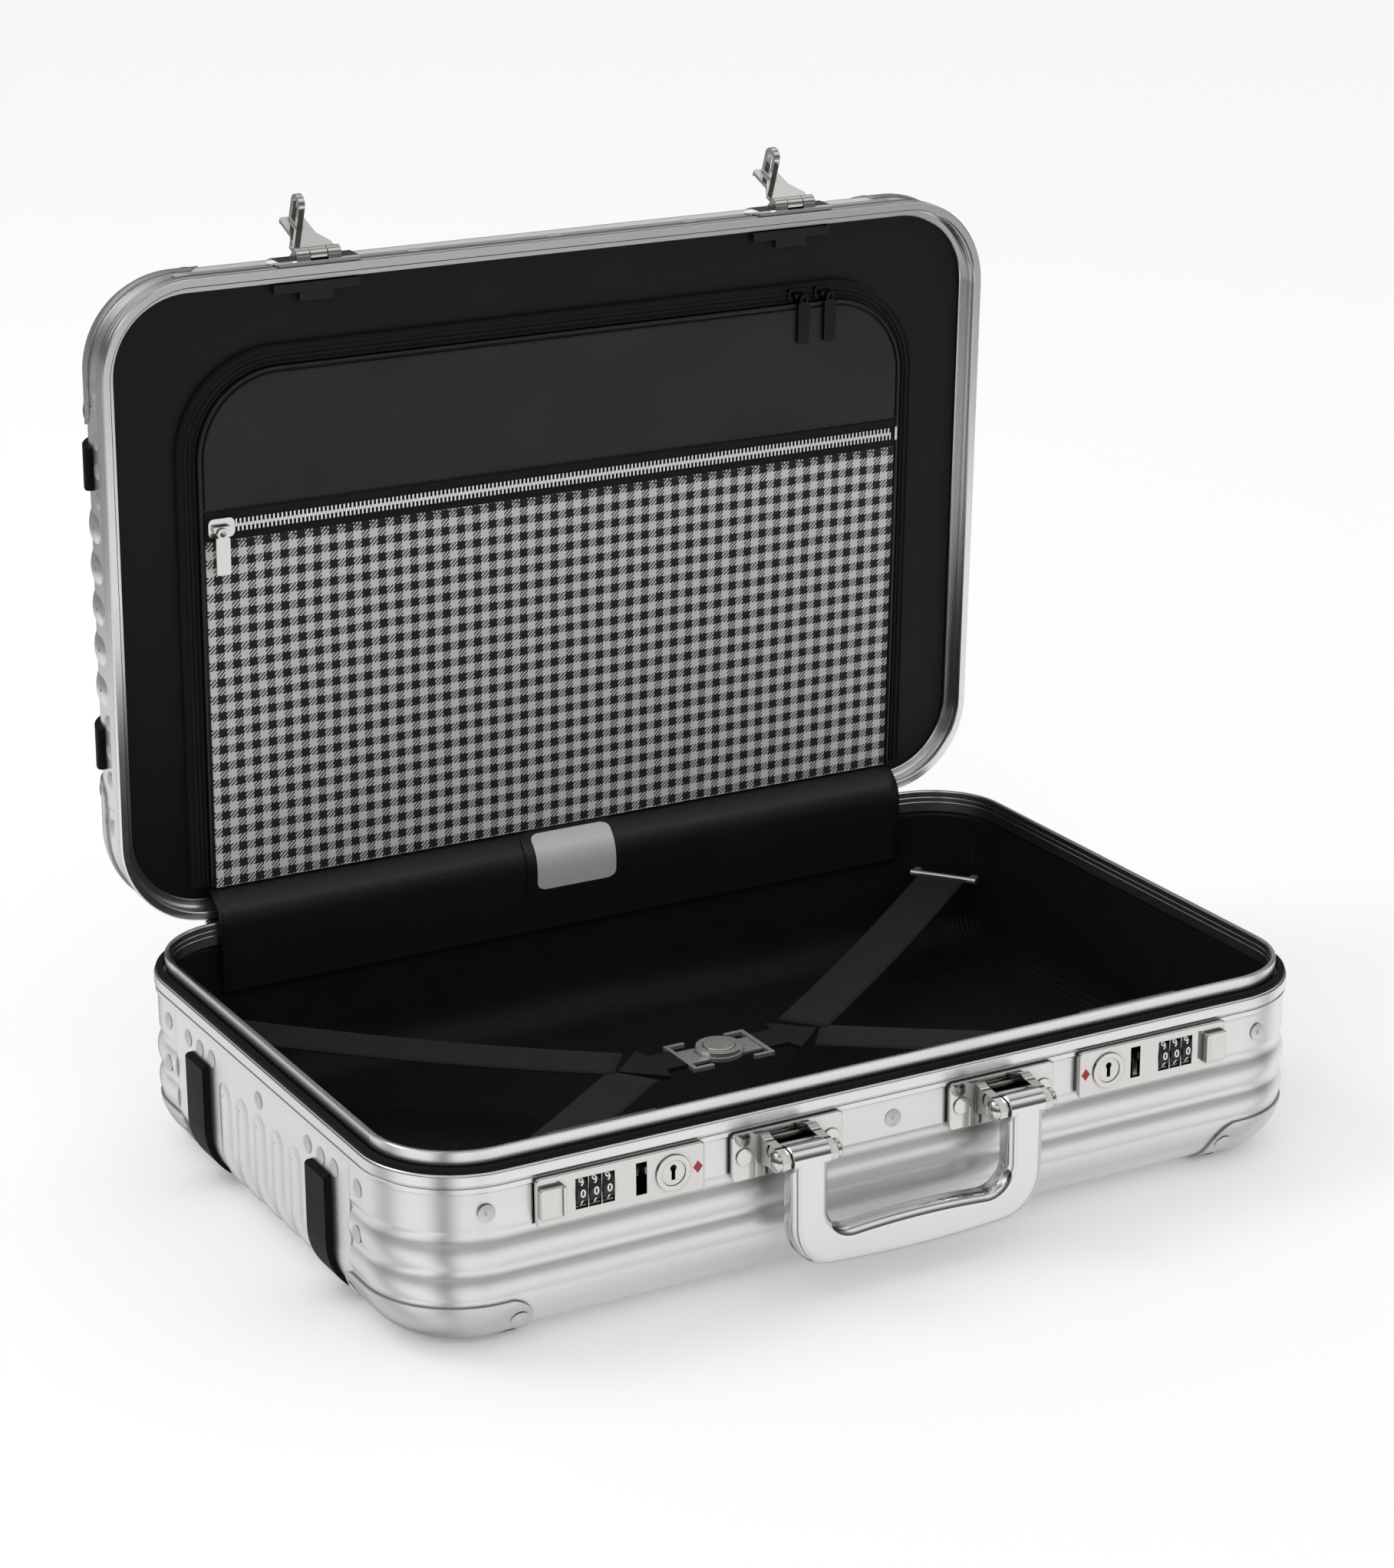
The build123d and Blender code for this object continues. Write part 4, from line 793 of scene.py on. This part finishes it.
def digit_mesh(digit, dial_x):
    """One digit on its dial; each next digit sits a tenth of a turn further down the front."""
    curve = bpy.data.curves.new("dg", "FONT")
    curve.body = str(digit)
    curve.size = 0.0050
    curve.align_x, curve.align_y = "CENTER", "CENTER"
    curve.extrude = 0.00006
    curve.offset = 0.00008
    text = bpy.data.objects.new("dg", curve)
    scene.collection.objects.link(text)
    text.matrix_world = (
        Matrix.Translation(mm(dial_x, DIAL_Y, DIAL_Z))
        @ Matrix.Rotation(math.radians(36 * digit), 4, "X")
        @ Matrix.Translation(mm(0, -DIAL_RADIUS - DIGIT_LIFT, 0))
        @ Matrix.Rotation(math.radians(90), 4, "X"))
    bpy.context.view_layer.update()
    evaluated = text.evaluated_get(bpy.context.evaluated_depsgraph_get())
    mesh = bpy.data.meshes.new_from_object(evaluated)
    mesh.transform(text.matrix_world)
    bpy.data.objects.remove(text)
    return mesh


def dial_numbers(side_name, number, dial_x):
    bm = bmesh.new()
    for digit in range(10):
        bm.from_mesh(digit_mesh(digit, dial_x))
    mesh = bpy.data.meshes.new("numbers")
    bm.to_mesh(mesh)
    bm.free()
    numbers = link_object("numbers_%s_%d" % (side_name, number), mesh, WHITE)
    attach(numbers, "dial_%s_%d" % (side_name, number))


def lock_mark(side_name, x):
    """Small red lozenge on the lock."""
    outline = ((x - MARK_HALF_WIDTH, MARK_Z), (x, MARK_Z + MARK_HALF_HEIGHT),
               (x + MARK_HALF_WIDTH, MARK_Z), (x, MARK_Z - MARK_HALF_HEIGHT))
    verts = [mm(px, y, pz) for y in (MARK_Y, MARK_Y + MARK_THICKNESS) for px, pz in outline]
    faces = [(0, 1, 2, 3), (4, 5, 6, 7), (0, 1, 5, 4), (1, 2, 6, 5), (2, 3, 7, 6), (3, 0, 4, 7)]
    mark = make("lock_mark_" + side_name, verts, faces, RED, smooth=False)
    attach(mark, "base")


for side_name, sign in (("left", -1), ("right", 1)):
    for number, dial_x in enumerate(DIAL_XS, 1):
        dial_numbers(side_name, number, sign * dial_x)
    lock_mark(side_name, sign * MARK_X)

# ------------------------------------------------------------------ floor
FLOOR_HALF, FLOOR_Z = 30, -0.0004
# (azimuth, width, depth) of painted reflection: dark sectors that only reflections see, in
# multiplied groups
FLOOR_REFLECTION_DIPS = (
    ((-131, 11, 0.75), (-88, 9, 0.12)),
    ((-20, 14, 0.40), (82, 16, 0.62)),
    ((157, 14, 0.50), (119, 50, 0.14)),
)


def floor_material():
    """White floor with painted reflections: reflections see it darken in sectors and with
    distance.
    """
    m = Mat("m_floor2", color=(0.92, 0.92, 0.92), rough=0.8)
    m.set("Specular IOR Level", 0.1)
    m.set("Emission Strength", 0.18)
    geometry = m.node("NewGeometry")
    incoming = m.separate(geometry.outputs["Incoming"])
    azimuth = m.math("ARCTAN2", m.math("MULTIPLY", incoming["Y"], -1.0),
                     m.math("MULTIPLY", incoming["X"], -1.0))
    distance = m.node("VectorMath", operation="LENGTH")
    m.feed(distance.inputs[0], geometry.outputs["Position"])
    fade = m.span(distance.outputs["Value"], low=1.0, high=0.35, start=0.80, end=1.25,
                  interpolation_type="SMOOTHSTEP")
    mirrored = m.math("MULTIPLY", m.dips(azimuth, FLOOR_REFLECTION_DIPS), fade)
    # painted reflection: only glossy rays see the floor dimmed by the sectors and the distance
    # fade
    glossy = m.node("LightPath").outputs["Is Glossy Ray"]
    change = m.math("MULTIPLY", glossy, m.math("SUBTRACT", mirrored, 1.0))
    level = m.math("ADD", change, 1.0)
    grey = m.node("CombineXYZ")
    for socket in grey.inputs:
        m.feed(socket, level)
    base = m.node("VectorMath", operation="SCALE")
    m.feed(base.inputs[0], grey.outputs[0])
    base.inputs["Scale"].default_value = 0.92
    m.set("Base Color", base.outputs[0])
    m.set("Emission Color", grey.outputs[0])
    return m.material


FLOOR_CORNERS = [(x * FLOOR_HALF, y * FLOOR_HALF, FLOOR_Z)
                 for x, y in ((-1, -1), (1, -1), (1, 1), (-1, 1))]
make("floor", FLOOR_CORNERS, [(0, 1, 2, 3)], floor_material(), smooth=False)

# ------------------------------------------------------------------ world
# (position, brightness) between straight down at 0 and straight up at 1
SKY_DOWN, SKY_UP = 0.9, 1.0
SKY_STOPS = ((0.49, 0.60), (0.51, 0.16), (0.58, 0.10), (0.66, 0.24), (0.72, 0.42),
             (0.80, 1.0), (0.88, 1.05), (0.94, 0.6))
# (azimuth, width, depth) of dark sectors, in multiplied groups
SKY_DIPS = (
    ((-131, 12, 0.85), (-18, 12, 0.75)),
    ((70, 16, 0.6), (140, 14, 0.6)),
    ((-88, 9, 0.2),),
)


def studio_world():
    """Banded studio for reflections, even light grey for all other rays."""
    world = bpy.data.worlds.new("studio")
    scene.world = world
    g = Graph(world)
    output = g.node("OutputWorld")
    background = g.node("Background")
    g.feed(output.inputs[0], background.outputs[0])
    direction = g.separate(g.node("TexCoord").outputs["Generated"])
    bands = g.node("ValToRGB")
    g.feed(bands.inputs["Fac"], g.span(direction["Z"], low=0.0, high=1.0, start=-1.0, end=1.0))
    stops = bands.color_ramp.elements
    stops[0].color = (SKY_DOWN, SKY_DOWN, SKY_DOWN, 1)
    stops[1].color = (SKY_UP, SKY_UP, SKY_UP, 1)
    for position, level in SKY_STOPS:
        stops.new(position).color = (level, level, level, 1)
    azimuth = g.math("ARCTAN2", direction["Y"], direction["X"])
    mirrored = g.mix(1.0, bands.outputs[0], g.dips(azimuth, SKY_DIPS), blend="MULTIPLY")
    glossy = g.node("LightPath").outputs["Is Glossy Ray"]
    g.feed(background.inputs["Color"], g.mix(glossy, (0.95, 0.95, 0.95), mirrored))
    background.inputs["Strength"].default_value = 0.86


scene.view_settings.view_transform = "Standard"
scene.view_settings.look = "None"
studio_world()


# ------------------------------------------------------------------ lights and camera
def area_light(name, place, width, height, power, target=(0, 0, 0.1)):
    light = bpy.data.lights.new(name, "AREA")
    light.shape = "RECTANGLE"
    light.size, light.size_y = width, height
    light.energy = power
    obj = bpy.data.objects.new(name, light)
    scene.collection.objects.link(obj)
    obj.location = place
    aim = Vector(target) - Vector(place)
    obj.rotation_euler = aim.to_track_quat("-Z", "Y").to_euler()


area_light("key", place=(-1.3, 0.9, 2.0), width=1.0, height=1.0, power=8)
area_light("fill", place=(-1.6, -1.6, 1.5), width=1.4, height=1.0, power=3)

CAMERA_AZIMUTH = math.radians(-29.05)             # from the front, negative towards -X
CAMERA_ELEVATION = math.radians(18.84)
CAMERA_ROLL = math.radians(-0.24)
CAMERA_TARGET = Vector((-0.0112, 0, 0.17656))
CAMERA_DISTANCE = 1.76135
CAMERA_LENS = 88.01383562                         # mm, on a square sensor


def camera():
    data = bpy.data.cameras.new("cam")
    data.sensor_width = data.sensor_height = 36.0
    data.sensor_fit = "AUTO"
    data.lens = CAMERA_LENS
    data.clip_start, data.clip_end = 0.01, 50
    obj = bpy.data.objects.new("camera", data)
    scene.collection.objects.link(obj)
    level = math.cos(CAMERA_ELEVATION)
    back = Vector((math.sin(CAMERA_AZIMUTH) * level, -math.cos(CAMERA_AZIMUTH) * level,
                   math.sin(CAMERA_ELEVATION)))
    right = Vector((math.cos(CAMERA_AZIMUTH), math.sin(CAMERA_AZIMUTH), 0))
    up = back.cross(right)
    cos, sin = math.cos(CAMERA_ROLL), math.sin(CAMERA_ROLL)
    place = CAMERA_TARGET + back * CAMERA_DISTANCE
    columns = (right * cos + up * sin, -right * sin + up * cos, back, place)
    obj.matrix_world = Matrix((*zip(*columns), (0, 0, 0, 1)))
    scene.camera = obj


camera()
